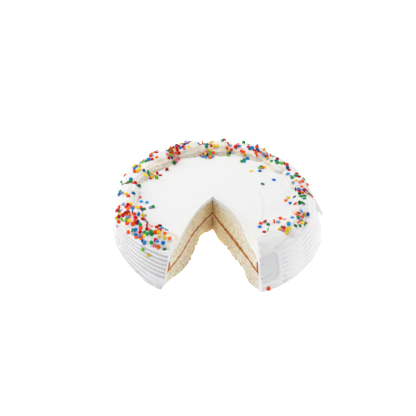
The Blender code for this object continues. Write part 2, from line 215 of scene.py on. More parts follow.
def turn_hill(angle, centre_deg, reach_deg):
    """A smooth hill over the angles round the cake."""
    difference = (np.degrees(angle) - centre_deg + 180) % 360 - 180
    return hill(difference, 0.0, reach_deg)


def bent_radius(radius, bends, angle):
    """A circle's radius with the bulges and dents of a coat that was spread by hand."""
    return radius + sum(depth * turn_hill(angle, middle, reach) for middle, reach, depth in bends)


def straight_wall(angle, height):
    """The radius of a plain side, from the outline of the foot up to that of the rim."""
    up = height / CAKE_HEIGHT
    foot = bent_radius(FOOT_RADIUS, FOOT_BENDS, angle)
    return foot * (1 - up) + bent_radius(RIM_RADIUS, RIM_BENDS, angle) * up


def core_radius(angle, height):
    """The radius of the layers inside the icing."""
    return straight_wall(angle, height) - ICING_SIDE - PIECE_GAP / 2


def spoke_length(spoke, radius_at):
    """How far it is from the slice's apex, along level spokes, to a radius about the cake's axis."""
    length = np.full(np.shape(spoke), FOOT_RADIUS)
    for _ in range(8):
        x = SLICE_APEX[0] + length * np.sin(spoke)
        y = SLICE_APEX[1] - length * np.cos(spoke)
        length = length + radius_at(np.arctan2(x, -y)) - np.hypot(x, y)
    return length


def spoke_points(spoke, length, height):
    """Points at a length along spokes of the slice's apex."""
    x = SLICE_APEX[0] + length * np.sin(spoke)
    y = SLICE_APEX[1] - length * np.cos(spoke)
    return np.stack(np.broadcast_arrays(x, y, height), -1)


def cut_offset(distance, height, side):
    """How far a cut face stands back from its plane: one is bowed and leans out near the foot, the other
    slopes back at the top, and bits are torn away, or left standing, along the floor."""
    distance = np.maximum(0.0, distance)
    height = np.clip(height, 0.0, CAKE_HEIGHT)
    if side < 0:
        outer = risen(distance, LEAN_START, LEAN_LENGTH)
        lean = LEFT_LEAN * outer * (1 - height / CAKE_HEIGHT) ** LEAN_CURVE
        offset = LEFT_BOW * hill(distance, BOW_MIDDLE, BOW_REACH) + lean
        tears = LEFT_TEARS
    else:
        upper = risen(height, SLOPE_START, SLOPE_HEIGHT)
        offset = RIGHT_SLOPE * hill(distance, SLOPE_MIDDLE, SLOPE_REACH) * upper
        tears = RIGHT_TEARS
    low = faded(height, TEAR_HEIGHT)
    offset = offset + low * sum(depth * hill(distance, middle, reach) for middle, reach, depth in tears)
    return offset * np.minimum(1.0, distance / APEX_FADE)


def crumb_offset(distance, height, side):
    """Dents, pores and small lumps of the crumb on a cut face, most ragged along the floor."""
    place = Vector((distance, height, 0.0))
    shift = Vector((0.0, 0.0, SIDE_SHIFT * side))
    low = max(0.0, 1 - height / TEAR_HEIGHT)
    dents = noise.noise(Vector((distance * DENTS_ALONG, height * DENTS_UP, 0.0)) + shift)
    offset = CRUMB_DEPTH * (1 + low) * dents
    ragged = max(0.0, 1 - height / RAGGED_HEIGHT)
    rags = noise.noise(place * RAGS + shift) + 0.5 * noise.noise(place * FINE_RAGS + shift)
    offset += RAGGED_DEPTH * ragged * rags
    pore = max(0.0, PORE_SIZE - noise.voronoi(place * PORES + shift, distance_metric="DISTANCE")[0][0])
    offset += PORE_DEPTH * (1.5 * pore + 0.8 * noise.noise(place * DIMPLES + shift))
    return offset * float(hill(distance, ROUGH_MIDDLE, ROUGH_REACH)) ** 0.3 * min(1.0, distance / APEX_FADE)


def rough_cut(points, with_crumb):
    """Moves the points near both cut faces back with them; on the crumb's own face they are rough too."""
    flat = points.reshape(-1, 3)
    for side, opening in ((-1, LEFT_ANGLE), (1, RIGHT_ANGLE)):
        along = np.array((side * math.sin(opening), -math.cos(opening)))
        outward = np.array((side * math.cos(opening), math.sin(opening)))
        local = flat[:, :2] - SLICE_APEX
        distance = local @ along
        away = local @ outward
        near = np.nonzero((np.abs(away) < SHEET_REACH) & (distance > 0.0005))[0]
        offset = cut_offset(distance[near], flat[near, 2], side)
        if with_crumb:
            on_face = np.abs(away[near]) < 1e-6
            rough = [crumb_offset(distance[index], flat[index, 2], side) if face else 0.0
                     for index, face in zip(near, on_face)]
            offset = offset + np.array(rough)
        flat[near, :2] += outward * (offset * (1 - np.abs(away[near]) / SHEET_REACH))[:, None]
    return flat.reshape(points.shape)


def sheet_faces(shape, start):
    """The four corners of each face of a grid of points."""
    rows, columns = shape
    ids = np.arange(rows * columns).reshape(rows, columns) + start
    return np.stack([ids[:-1, :-1], ids[1:, :-1], ids[1:, 1:], ids[:-1, 1:]], -1).reshape(-1, 4)


def joined_sheets(name, sheets, extra_faces=(), sharp=SHARP_EDGE):
    """One closed mesh from grids of points whose borders meet."""
    points, faces, start = [], [], 0
    for sheet in sheets:
        points.append(sheet.reshape(-1, 3))
        faces += sheet_faces(sheet.shape[:2], start).tolist()
        start += sheet.shape[0] * sheet.shape[1]
    bm = bmesh.new()
    mesh = bpy.data.meshes.new(name)
    mesh.from_pydata(np.concatenate(points).tolist(), [], faces + list(extra_faces))
    bm.from_mesh(mesh)
    bmesh.ops.remove_doubles(bm, verts=bm.verts, dist=WELD_DISTANCE)
    bmesh.ops.recalc_face_normals(bm, faces=bm.faces)
    bm.to_mesh(mesh)
    bm.free()
    piece = bpy.data.objects.new(name, mesh)
    bpy.context.scene.collection.objects.link(piece)
    round_off(piece, sharp)
    return piece


def round_off(piece, sharp):
    """Smooth faces that meet at less than an angle in degrees."""
    piece.data.shade_smooth()
    piece.data.set_sharp_from_angle(angle=math.radians(sharp))


def vertex_places(piece):
    """The piece's points as an array."""
    places = np.empty(len(piece.data.vertices) * 3)
    piece.data.vertices.foreach_get("co", places)
    return places.reshape(-1, 3)


def paint_mask(piece, name, values):
    """Stores one number for each point, which a material reads."""
    layer = piece.data.attributes.new(name, "FLOAT", "POINT")
    layer.data.foreach_set("value", np.asarray(values, np.float32))


def layer_rise(share):
    """How far the layers rise in the middle of the cake, and sink towards the rim."""
    dip = risen(share, DIP_SHARE, DIP_LENGTH_SHARE)
    return MIDDLE_RISE * faded(share, MIDDLE_SHARE) ** 2 - RIM_DIP * dip


def axis_share(spokes, length):
    """How far places on the spokes are from the cake's axis, as shares of the layers' radius."""
    x, y, _height = np.moveaxis(spoke_points(spokes, length, 0.0), -1, 0)
    return np.hypot(x, y) / core_radius(np.arctan2(x, -y), LOWER_TOP)


def layer_block(bottom_at, top_at):
    """A layer with the slice out of it, between two levels given over the share of its radius."""
    share = np.linspace(0.0, 1.0, FACE_STEPS + 1) ** SHARE_CURVE
    spokes = np.linspace(RIGHT_ANGLE, math.tau - LEFT_ANGLE, LAYER_SPOKES + 1)
    rise = np.linspace(0.0, 1.0, LAYER_ROWS + 1)

    def block(rise, share, spokes):
        rise, share, spokes = np.broadcast_arrays(rise, share, spokes)
        full = spoke_length(spokes, lambda angle: core_radius(angle, LOWER_TOP))
        out = axis_share(spokes, full * share)
        low, high = bottom_at(out), top_at(out)
        height = low + (high - low) * rise
        full = spoke_length(spokes, lambda angle: core_radius(angle, height))
        return spoke_points(spokes, full * share, height)

    sheets = [block(rise[:, None], share[None, :], spokes[end]) for end in (0, -1)]
    sheets += [block(rise[end], share[:, None], spokes[None, :]) for end in (0, -1)]
    sheets.append(block(rise[:, None], 1.0, spokes[None, :]))
    return [rough_cut(sheet, True) for sheet in sheets]


def lower_bottom(share):
    return 0.0 * share


def lower_top(share):
    return LOWER_TOP + layer_rise(share)


def node_group(name, inputs, outputs):
    """An empty shader node group with its sockets; inputs hold their kind and starting value."""
    group = bpy.data.node_groups.new(name, "ShaderNodeTree")
    for socket, (kind, value) in inputs.items():
        made = group.interface.new_socket(name=socket, in_out="INPUT", socket_type=f"NodeSocket{kind}")
        if value is not None:
            made.default_value = value
    for socket, kind in outputs.items():
        group.interface.new_socket(name=socket, in_out="OUTPUT", socket_type=f"NodeSocket{kind}")
    return group, group.nodes.new("NodeGroupInput"), group.nodes.new("NodeGroupOutput")


def noise_node(tree, place, scale, detail, roughness):
    """A noise texture over a place: how many waves to a metre, how fine it goes and how rough it is."""
    node = tree.nodes.new("ShaderNodeTexNoise")
    node.inputs["Scale"].default_value = scale
    node.inputs["Detail"].default_value = detail
    node.inputs["Roughness"].default_value = roughness
    tree.links.new(place, node.inputs["Vector"])
    return node.outputs["Fac"]


def math_node(tree, operation, first, second, clamp=False):
    """A Math node; each side is a socket or a number."""
    node = tree.nodes.new("ShaderNodeMath")
    node.operation = operation
    node.use_clamp = clamp
    for socket, value in zip(node.inputs, (first, second)):
        if isinstance(value, (int, float)):
            socket.default_value = value
        else:
            tree.links.new(value, socket)
    return node.outputs[0]


def ramp_node(tree, value, low, high):
    """Spreads the span from low to high over 0 to 1."""
    node = tree.nodes.new("ShaderNodeMapRange")
    node.inputs["From Min"].default_value = low
    node.inputs["From Max"].default_value = high
    tree.links.new(value, node.inputs["Value"])
    return node.outputs["Result"]


def mix_node(tree, share, first, second):
    """Mixes two colours; each is a socket or a colour."""
    node = tree.nodes.new("ShaderNodeMix")
    node.data_type = "RGBA"
    sockets = [node.inputs[0], node.inputs[6], node.inputs[7]]
    for socket, value in zip(sockets, (share, first, second)):
        if isinstance(value, (int, float, tuple)):
            socket.default_value = value
        else:
            tree.links.new(value, socket)
    return node.outputs[2]


def place_node(tree):
    return tree.nodes.new("ShaderNodeTexCoord").outputs["Object"]


def mask_node(tree, name):
    """The numbers that paint_mask stored under a name."""
    node = tree.nodes.new("ShaderNodeAttribute")
    node.attribute_name = name
    return node.outputs["Fac"]


# Each noise of the crumb: how many waves to a metre, its detail and its roughness; then the span of it
# that shows as specks, as pores or as dragged icing, which on the +X face is partly painted light
FINE_SPECKS = (1500.0, 4.0, 0.65)
CRUMB_LUMPS = (430.0, 4.0, 0.65)
BROAD_PATCHES = (150.0, 3.0, 0.55)
FINE_SPAN = (0.40, 0.75)
LUMP_SPAN = (0.46, 0.58)
BROAD_SPAN = (0.40, 0.64)
PORE_SPAN = (0.42, 0.05)
DRAGGED_SPAN = (0.62, 0.40)
DRAGGED_FLOOR = 0.35
FINE_RISE = 0.8
LUMP_RISE = 1.6
# The crumb's tone: the distances from the cake's axis over which painted shade darkens it towards the apex,
# where the two cut faces meet, and over which it pales towards the rim; how much painted shade there is at
# the apex, and how much each kind of speck toasts it
APEX_SHADE_SPAN = (0.026, 0.003)
APEX_SHADE_SHARE = 0.85
RIM_TONE = (0.024, 0.070)
TOASTED = {"pores": 0.28, "lumps": 0.72, "broad": 0.20, "fine": 0.12}
PALE_SHARE = 0.36
# The icing's colour, mixed into the crumb where icing was dragged, and on the +X face also as painted light
ICING_SMEAR_AND_PAINTED_LIGHT = (0.90, 0.89, 0.86, 1.0)
FOOD_SHINE = 0.30
LIGHT_REACH = 0.002


def make_crumb_grain():
    """Open crumb: pores, toasted specks, painted shade that deepens its colour at the cake's middle, and
    dragged icing that is partly painted light.
    """
    group, given, out = node_group(
        "crumb_grain",
        {"Pale": ("Color", (0.9, 0.8, 0.6, 1.0)), "Deep": ("Color", (0.7, 0.5, 0.3, 1.0)),
         "Rim": ("Color", (0.9, 0.9, 0.8, 1.0)), "Pores per metre": ("Float", 700.0),
         "Icing and painted light share": ("Float", 0.0)},
        {"Color": "Color", "Height": "Float"})
    place = place_node(group)
    pores = group.nodes.new("ShaderNodeTexVoronoi")
    group.links.new(place, pores.inputs["Vector"])
    group.links.new(given.outputs["Pores per metre"], pores.inputs["Scale"])
    open_pore = ramp_node(group, pores.outputs["Distance"], *PORE_SPAN)
    fine = noise_node(group, place, *FINE_SPECKS)
    lumps = noise_node(group, place, *CRUMB_LUMPS)
    broad = noise_node(group, place, *BROAD_PATCHES)
    level = group.nodes.new("ShaderNodeVectorMath")
    level.operation = "MULTIPLY"
    group.links.new(place, level.inputs[0])
    level.inputs[1].default_value = (1.0, 1.0, 0.0)
    length = group.nodes.new("ShaderNodeVectorMath")
    length.operation = "LENGTH"
    group.links.new(level.outputs["Vector"], length.inputs[0])
    # Painted shade: the crumb darkens towards the cake's axis, at the apex where the two cut faces meet
    apex_shade = ramp_node(group, length.outputs["Value"], *APEX_SHADE_SPAN)
    near_rim = ramp_node(group, length.outputs["Value"], *RIM_TONE)
    deep = math_node(group, "MULTIPLY", apex_shade, APEX_SHADE_SHARE)
    masks = {"pores": open_pore, "lumps": ramp_node(group, lumps, *LUMP_SPAN),
             "broad": ramp_node(group, broad, *BROAD_SPAN), "fine": ramp_node(group, fine, *FINE_SPAN)}
    for name, share in TOASTED.items():
        deep = math_node(group, "ADD", deep, math_node(group, "MULTIPLY", masks[name], share))
    deep = math_node(group, "SUBTRACT", deep, PALE_SHARE, True)
    base = mix_node(group, near_rim, given.outputs["Pale"], given.outputs["Rim"])
    crumb = mix_node(group, deep, base, given.outputs["Deep"])
    # Dragged icing, which on the +X face is partly painted light
    dragged = math_node(group, "ADD", ramp_node(group, lumps, *DRAGGED_SPAN), DRAGGED_FLOOR)
    dragged = math_node(group, "MULTIPLY", dragged, given.outputs["Icing and painted light share"], True)
    group.links.new(mix_node(group, dragged, crumb, ICING_SMEAR_AND_PAINTED_LIGHT), out.inputs["Color"])
    raised = math_node(group, "SUBTRACT", math_node(group, "MULTIPLY", fine, FINE_RISE), open_pore)
    raised = math_node(group, "ADD", raised, math_node(group, "MULTIPLY", lumps, LUMP_RISE))
    group.links.new(raised, out.inputs["Height"])
    return group


def food_material(name, roughness, bump_metres, bump_strength, subsurface=0.0):
    """A matt food surface, ready for a colour, with a Bump node that feeds its normal."""
    material = bpy.data.materials.new(name)
    material.use_nodes = True
    tree = material.node_tree
    shader = tree.nodes["Principled BSDF"]
    shader.inputs["Roughness"].default_value = roughness
    shader.inputs["Specular IOR Level"].default_value = FOOD_SHINE
    shader.inputs["Subsurface Weight"].default_value = subsurface
    shader.inputs["Subsurface Scale"].default_value = LIGHT_REACH
    bump = tree.nodes.new("ShaderNodeBump")
    bump.inputs["Distance"].default_value = bump_metres
    bump.inputs["Strength"].default_value = bump_strength
    tree.links.new(bump.outputs["Normal"], shader.inputs["Normal"])
    return material, tree, shader, bump


def place_group(tree, group, values):
    """Puts a node group into a material with its own values."""
    node = tree.nodes.new("ShaderNodeGroup")
    node.node_tree = group
    for socket, value in values.items():
        if isinstance(value, (int, float, tuple)):
            node.inputs[socket].default_value = value
        else:
            tree.links.new(value, node.inputs[socket])
    return node


# Icing on the crumb beside the coat: how far it reaches, how much more at one foot, and how much there is
COAT_SMEAR = 0.0075
FOOT_SMEAR = 0.010
FOOT_SMEAR_HEIGHT = 0.011
COAT_SMEAR_SHARE = 0.75
SMEAR_START = 0.030
SMEAR_LENGTH = 0.040
CRUMB_ROUGHNESS = 0.85
CRUMB_SHINE = 0.08
CRUMB_BUMP = 0.0009
CRUMB_BUMP_STRENGTH = 0.8
CRUMB_GLOW = 0.15


def crumb_material(name, colours):
    """A layer's crumb, ready for its colour, and the grain with its own colours and dragged icing, which is
    partly painted light.
    """
    material, tree, shader, bump = food_material(
        name, CRUMB_ROUGHNESS, CRUMB_BUMP, CRUMB_BUMP_STRENGTH, CRUMB_GLOW)
    shader.inputs["Specular IOR Level"].default_value = CRUMB_SHINE
    grain = place_group(tree, crumb_grain, {**colours, "Icing and painted light share": mask_node(tree, "icing")})
    tree.links.new(grain.outputs["Height"], bump.inputs["Height"])
    return material, tree, shader, grain.outputs["Color"]


def dragged_icing_and_painted_light(places, on_left, on_right):
    """How much the crumb is paled towards icing: beside the coat by icing that the knife dragged there, and
    over the outer part of each face, more on the +X face, which is partly dragged icing and partly painted
    light.
    """
    x, y, z = places.T
    distance = np.hypot(x - SLICE_APEX[0], y - SLICE_APEX[1])
    rim = core_radius(np.arctan2(x, -y), z) - np.hypot(x, y)
    wider = FOOT_SMEAR * faded(z, FOOT_SMEAR_HEIGHT) * (x < SLICE_APEX[0])
    beside_coat = faded(rim, COAT_SMEAR + wider)
    outer = risen(distance, SMEAR_START, SMEAR_LENGTH)
    broad = np.where(x > SLICE_APEX[0], on_right, on_left) * outer
    return np.clip(broad + COAT_SMEAR_SHARE * beside_coat, 0.0, 1.0)


# How much the lower crumb is paled on its -X and its +X face: dragged icing, and on the +X face partly
# painted light
LOWER_SMEAR_AND_PAINTED_LIGHT = (0.06, 0.32)
LOWER_COLOURS = {"Pale": (0.86, 0.73, 0.46, 1.0), "Deep": (0.64, 0.38, 0.12, 1.0),
                 "Rim": (0.86, 0.80, 0.62, 1.0), "Pores per metre": 620.0}

crumb_grain = make_crumb_grain()
lower_crumb, tree, shader, crumb_colour = crumb_material("lower_crumb", LOWER_COLOURS)
tree.links.new(crumb_colour, shader.inputs["Base Color"])
lower_layer = joined_sheets("lower_layer", layer_block(lower_bottom, lower_top))
lower_layer.data.materials.append(lower_crumb)
paint_mask(lower_layer, "icing", dragged_icing_and_painted_light(vertex_places(lower_layer), *LOWER_SMEAR_AND_PAINTED_LIGHT))
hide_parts("lower_cake_layer")
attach(lower_layer, "root")

# The filling is a thin band of pale cream, spread over the lower layer. Its cut edge is smooth, and the
# knife drew crumbs across it.
FILLING_THICKNESS = 0.0019
FILLING_ROUGHNESS = 0.55
FILLING_BUMP = 0.0003
FILLING_GLOW = 0.2
FILLING_BUMP_STRENGTH = 0.4
SPREAD_MARKS = (420.0, 3.0, 0.6)
DRAWN_CRUMBS = (0.42, 0.62)
CREAM = (0.86, 0.80, 0.66, 1.0)
CRUMBS_IN_CREAM = (0.74, 0.56, 0.32, 1.0)


def filling_bottom(share):
    return LOWER_TOP + PIECE_GAP / 2 + layer_rise(share)


def filling_top(share):
    return LOWER_TOP + 1.5 * PIECE_GAP + FILLING_THICKNESS + layer_rise(share)


filling_cream, tree, shader, bump = food_material(
    "filling_cream", FILLING_ROUGHNESS, FILLING_BUMP, FILLING_BUMP_STRENGTH, FILLING_GLOW)
spread = noise_node(tree, place_node(tree), *SPREAD_MARKS)
dragged = ramp_node(tree, spread, *DRAWN_CRUMBS)
cream_colour = mix_node(tree, dragged, CREAM, CRUMBS_IN_CREAM)
tree.links.new(cream_colour, shader.inputs["Base Color"])
tree.links.new(spread, bump.inputs["Height"])
filling = joined_sheets("cream_band", layer_block(filling_bottom, filling_top))
filling.data.materials.append(filling_cream)
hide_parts("cream_filling")
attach(filling, "root")

# The upper layer is a denser, more golden crumb. It was baked, so it has a thin brown crust underneath,
# which turns up round its outer side to half its height.
CORE_SHOULDER = 0.0070
ROOF_SAG = 0.0034
FLAT_ROOF_SHARE = 0.68
CRUST_THICKNESS = 0.0030
CRUST_SIDE_TOP = 0.0315
CRUST_END = 0.004
TURN_UP_SHARE = 0.985
CRUST_RAGS = (600.0, 3.0, 0.6)
CRUST_RAG_SHARE = 0.35
BAKED = (0.56, 0.76)
DARK_BAKED = (0.35, 0.70)
CRUST_LIGHT = (0.62, 0.20, 0.014, 1.0)
CRUST_DARK = (0.42, 0.11, 0.007, 1.0)
SMEAR_BOTTOM = 0.0300
SMEAR_RISE = 0.0085
# How much the upper crumb is paled on its -X and its +X face: dragged icing, and on the +X face partly
# painted light
UPPER_SMEAR_AND_PAINTED_LIGHT = (0.08, 0.22)
TOP_SMEAR_SHARE = 0.90
TOP_SMEAR_CURVE = 1.2
UPPER_COLOURS = {"Pale": (0.94, 0.84, 0.59, 1.0), "Deep": (0.66, 0.37, 0.09, 1.0),
                 "Rim": (0.91, 0.86, 0.70, 1.0), "Pores per metre": 760.0}
UPPER_FLOOR = LOWER_TOP + FILLING_THICKNESS + 2 * PIECE_GAP
UPPER_ROOF = CAKE_HEIGHT - ICING_TOP - PIECE_GAP


def upper_bottom(share):
    turned_up = risen(share, TURN_UP_SHARE, 1 - TURN_UP_SHARE)
    return UPPER_FLOOR + layer_rise(share) * (1 - turned_up)


def roof_drop(share, rim):
    """How far the upper layer's top lies below its flat middle: a slope, then a round shoulder."""
    sloped = rim * (1 - FLAT_ROOF_SHARE) - CORE_SHOULDER
    slope = ROOF_SAG * risen(share * rim, FLAT_ROOF_SHARE * rim, sloped)
    past = risen(share * rim, rim - CORE_SHOULDER, CORE_SHOULDER)
    return slope + CORE_SHOULDER * (1 - np.sqrt(1 - past ** 2))


def upper_top(share):
    return UPPER_ROOF - roof_drop(share, RIM_RADIUS - ICING_SIDE)


def crust_share(places):
    """How deep in the crust a point is, from 1 at the layer's skin to 0 inside it."""
    radius = np.hypot(places[:, 0], places[:, 1])
    angle = np.arctan2(places[:, 0], -places[:, 1])
    rim = core_radius(angle, places[:, 2])
    above = places[:, 2] - upper_bottom(np.minimum(TURN_UP_SHARE, radius / core_radius(angle, LOWER_TOP)))
    under = faded(above, 2 * CRUST_THICKNESS)
    side = faded(rim - radius, 2 * CRUST_THICKNESS) * fallen(places[:, 2], CRUST_SIDE_TOP, CRUST_END)
    return np.maximum(under, side)


upper_crumb, tree, shader, crumb_colour = crumb_material("upper_crumb", UPPER_COLOURS)
ragged = noise_node(tree, place_node(tree), *CRUST_RAGS)
rags = math_node(tree, "MULTIPLY", ragged, CRUST_RAG_SHARE)
crust_edge = math_node(tree, "ADD", mask_node(tree, "crust"), rags)
crust_colour = mix_node(tree, ramp_node(tree, ragged, *DARK_BAKED), CRUST_LIGHT, CRUST_DARK)
upper_colour = mix_node(tree, ramp_node(tree, crust_edge, *BAKED), crumb_colour, crust_colour)
tree.links.new(upper_colour, shader.inputs["Base Color"])
upper_layer = joined_sheets("upper_layer", layer_block(upper_bottom, upper_top))
upper_layer.data.materials.append(upper_crumb)
upper_places = vertex_places(upper_layer)
near_top = risen(upper_places[:, 2], SMEAR_BOTTOM, SMEAR_RISE) * (upper_places[:, 0] > SLICE_APEX[0])
top_smear = TOP_SMEAR_SHARE * near_top ** TOP_SMEAR_CURVE
upper_icing = np.maximum(dragged_icing_and_painted_light(upper_places, *UPPER_SMEAR_AND_PAINTED_LIGHT), top_smear)
paint_mask(upper_layer, "icing", upper_icing)
paint_mask(upper_layer, "crust", crust_share(upper_places))
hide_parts("upper_cake_layer")
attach(upper_layer, "root")

# The icing is soft and white. It was spread flat on top with a palette knife, and a toothed comb was drawn
# round its side, which left level grooves, a pressed smooth patch by the cut and a tongue over the rim.
SHOULDER = 0.0042
SHOULDER_DROP = 0.0026
SIDE_BULGE = 0.0020
SIDE_HOLLOW = 0.0010
# Each spot on the side: its angle and its reach in degrees, its height and its reach up and down
BULGE_SPOT = (75, 50, 0.022, 0.021)
HOLLOW_SPOT = (310, 55, 0.018, 0.025)
FLARE_SPOT = (332, 20, 0.0, 0.009)
PATCH_EDGE_SPOT = (33.5, 2.2, 0.027, 0.014)
PATCH_SHADE_SPOT = (33.5, 1.5, 0.027, 0.013)
PATCH_STAIN_SPOT = (30, 9, 0.041, 0.006)
SMUDGE_SPOT = (-33.5, 1.2, 0.0330, 0.0016)
COMB_PITCH = 0.0049
COMB_DEPTH = 0.0024
COMB_LOWEST = 0.0030
COMB_GROOVES = 8
COMB_DRIFT = 0.0005
GROOVE_SHARPNESS = 1.5
# Each wave of the grooves' level: its height, how many to a turn and where it starts
COMB_SWAY = ((0.00022, 7, 1.3), (0.00012, 17, 0.0))
# Each wave of their depth: its share, how many to a turn and how far it leans with the height
COMB_UNEVEN = ((0.20, 5, 40), (0.12, 23, -90))
# Where the comb hardly touched the side: middle and reach in degrees, how sharply that ends, and how much
# of the grooves is gone
COMB_WORN = ((28, 8, 0.3, 1.0), (78, 44, 0.35, 0.94), (40, 13, 0.4, 0.55), (-92, 26, 0.5, 0.55))
# How much painted shade greys the bottoms of the grooves
GROOVE_PAINTED_SHADE = 0.85
# Beside the cut on the -X side the comb stopped short of the foot: middle, reach, and how high that goes
PLAIN_FOOT = (-22, 22, 0.0140)
PLAIN_FOOT_END = 0.005
PATCH_DEPTH = 0.0012
PATCH_ANGLE = 28.4
PATCH_HALF_TURN = 5.6
PATCH_LEVEL = 0.0255
PATCH_HALF_HEIGHT = 0.0158
PATCH_SQUARENESS = 5
PATCH_SOFT_EDGE = 0.10
PATCH_FOOT = 0.008
FOOT_HEIGHT = 0.0022
FOOT_TUCK_IN = 0.0012
FOOT_FLARE = 0.0014
TOP_STEPS = 84
SHOULDER_STEPS = 9
WALL_STEPS = 120
ICING_CUT_STEPS = 10
HIDDEN_EVERY = 8
INNER_CORNER_STEPS = 21
WALL_START_DROP = 0.0006
KNIFED_RADIUS = 0.100
KNIFED_FADE = 0.006
DRAG_TOP_FADE = 0.003
DRAG_FOOT_FADE = 0.0015
# Marks of the palette knife and of the comb: each one's depth, how they are drawn out along X or round the
# cake, how many to a metre, and a seed
KNIFE_MARKS = ((0.00022, 1.0, 28.0, 0.0), (0.00010, 0.35, 150.0, 3.0))
DRAG_MARKS = ((0.00028, 0.055, 420.0, 11.0), (0.00016, 0.30, 500.0, 5.0))
# Lumps round the foot, on the foot that was scraped beside the cut, and along the patch's far edge: each
# one's depth, how many to a metre and a seed
FOOT_LUMPS = (0.0010, 160.0, 21.0)
FOOT_LUMPS_TOP = 0.0100
FOOT_LUMPS_SQUASH = 1.6
SCRAPED_LUMPS = (0.0011, 210.0, 4.0)
SCRAPED_LUMPS_TOP = 0.0150
SCRAPED_FOOT = (-22, 26)
SCRAPED_TOP = 0.0140
EDGE_LUMPS = (0.0007, 260.0, 8.0)
SEAM_CENTRE = (-0.056, -0.021)
SEAM_RADIUS = 0.105
SEAM_HALF_SWEEP = math.radians(17.0)
SEAM_FADE = 0.10
SEAM_RIDGE = 0.00060
SEAM_RIDGE_WIDTH = 0.0010
SEAM_STEP = 0.00045
SEAM_STEP_WIDTH = 0.0005
SEAM_STEP_FADE = 0.02
FLAP_THICKNESS = 0.0048
FLAP_HALF_WIDTH = 0.0044
FLAP_ROOT_ANGLE = 99
FLAP_TIP_ANGLE = 86
FLAP_ROOT_HEIGHT = 0.0368
FLAP_TIP_HEIGHT = 0.0225
FLAP_ROOT_DEPTH = 0.0024
FLAP_LIFT = 0.0062
FLAP_CURL = 1.4
FLAP_NARROWING = 0.62
FLAP_THINNING = 0.45
FLAP_TIP_SHARE = 0.06
FLAP_SLANT = 0.6
FLAP_DROP = 0.8
FLAP_STEPS = 40
FLAP_SIDES = 18
ICING_MASKS = ("warm", "grey", "crumb")


def wander(x, y, z, scale, seed=0.0):
    """Smooth noise over arrays of places; the scale says how many waves to one unit of them."""
    x, y, z = np.broadcast_arrays(x, y, z)
    values = [noise.noise(Vector((a * scale + seed, b * scale, c * scale)))
              for a, b, c in zip(x.ravel(), y.ravel(), z.ravel())]
    return np.array(values).reshape(x.shape)


def spot(angle, height, place):
    """A smooth hill on the coat's side, round an angle and a height."""
    middle, reach, level, span = place
    return turn_hill(angle, middle, reach) * hill(height, level, span)


def smooth_wall(angle, height):
    """The icing's side before it is combed, which bulges on one side and is pressed in on the other."""
    bulge = SIDE_BULGE * spot(angle, height, BULGE_SPOT)
    hollow = SIDE_HOLLOW * spot(angle, height, HOLLOW_SPOT)
    return straight_wall(angle, height) + bulge - hollow


def comb_strength(angle, height):
    """How deep the comb went: not at all on the patch by the cut, and hardly round the +X side."""
    gone = sum(share * turn_hill(angle, middle, reach) ** ending
               for middle, reach, ending, share in COMB_WORN)
    middle, reach, top = PLAIN_FOOT
    plain = turn_hill(angle, middle, reach) ** 0.5 * fallen(height, top, PLAIN_FOOT_END)
    return np.maximum(0.0, 1 - gone) * (1 - plain)


def patch_share(angle, height):
    """The pressed patch by the cut, with round upper corners and a lower edge that fades out."""
    across = np.abs((np.degrees(angle) % 360 - PATCH_ANGLE) / PATCH_HALF_TURN)
    up = np.abs((height - PATCH_LEVEL) / PATCH_HALF_HEIGHT)
    edge = 1 - (across ** PATCH_SQUARENESS + up ** PATCH_SQUARENESS) ** (1 / PATCH_SQUARENESS)
    return risen(edge, 0.0, PATCH_SOFT_EDGE) * risen(height, PATCH_FOOT, PATCH_FOOT)


def groove_at(angle, height):
    """The comb's grooves: 1 at the bottom of a groove and 0 on a ridge."""
    drift = COMB_DRIFT * np.sin(2 * angle)
    sway = sum(size * np.sin(waves * angle + start) for size, waves, start in COMB_SWAY)
    turns = (height - COMB_LOWEST - drift - sway) / COMB_PITCH
    groove = (0.5 - 0.5 * np.cos(math.tau * turns)) ** GROOVE_SHARPNESS
    return groove * (turns > 0) * (turns < COMB_GROOVES)


def wall_radius(angle, height):
    """The finished side, down to its flared foot."""
    radius = smooth_wall(angle, height)
    uneven = 1 + sum(share * np.sin(waves * angle + lean * height) for share, waves, lean in COMB_UNEVEN)
    radius = radius - COMB_DEPTH * groove_at(angle, height) * comb_strength(angle, height) * uneven
    radius = radius - PATCH_DEPTH * patch_share(angle, height)
    radius = radius + FOOT_FLARE * spot(angle, height, FLARE_SPOT)
    return radius - FOOT_TUCK_IN * faded(height, FOOT_HEIGHT) ** 2


def rim_surface(radius, angle):
    """The height of the icing's top, which rounds off at the rim."""
    edge = smooth_wall(angle, CAKE_HEIGHT) - SHOULDER
    return CAKE_HEIGHT - SHOULDER_DROP * risen(radius, edge, SHOULDER) ** 2


def spoke_grid():
    """Spokes round the coat, closer together near the cut and the patch beside it."""
    fine_end = math.radians(40)
    fine = np.linspace(RIGHT_ANGLE, fine_end, 7 * HIDDEN_EVERY + 1)
    coarse = np.linspace(fine_end, math.tau - LEFT_ANGLE, 40 * HIDDEN_EVERY + 1)
    return np.concatenate([fine, coarse[1:]])


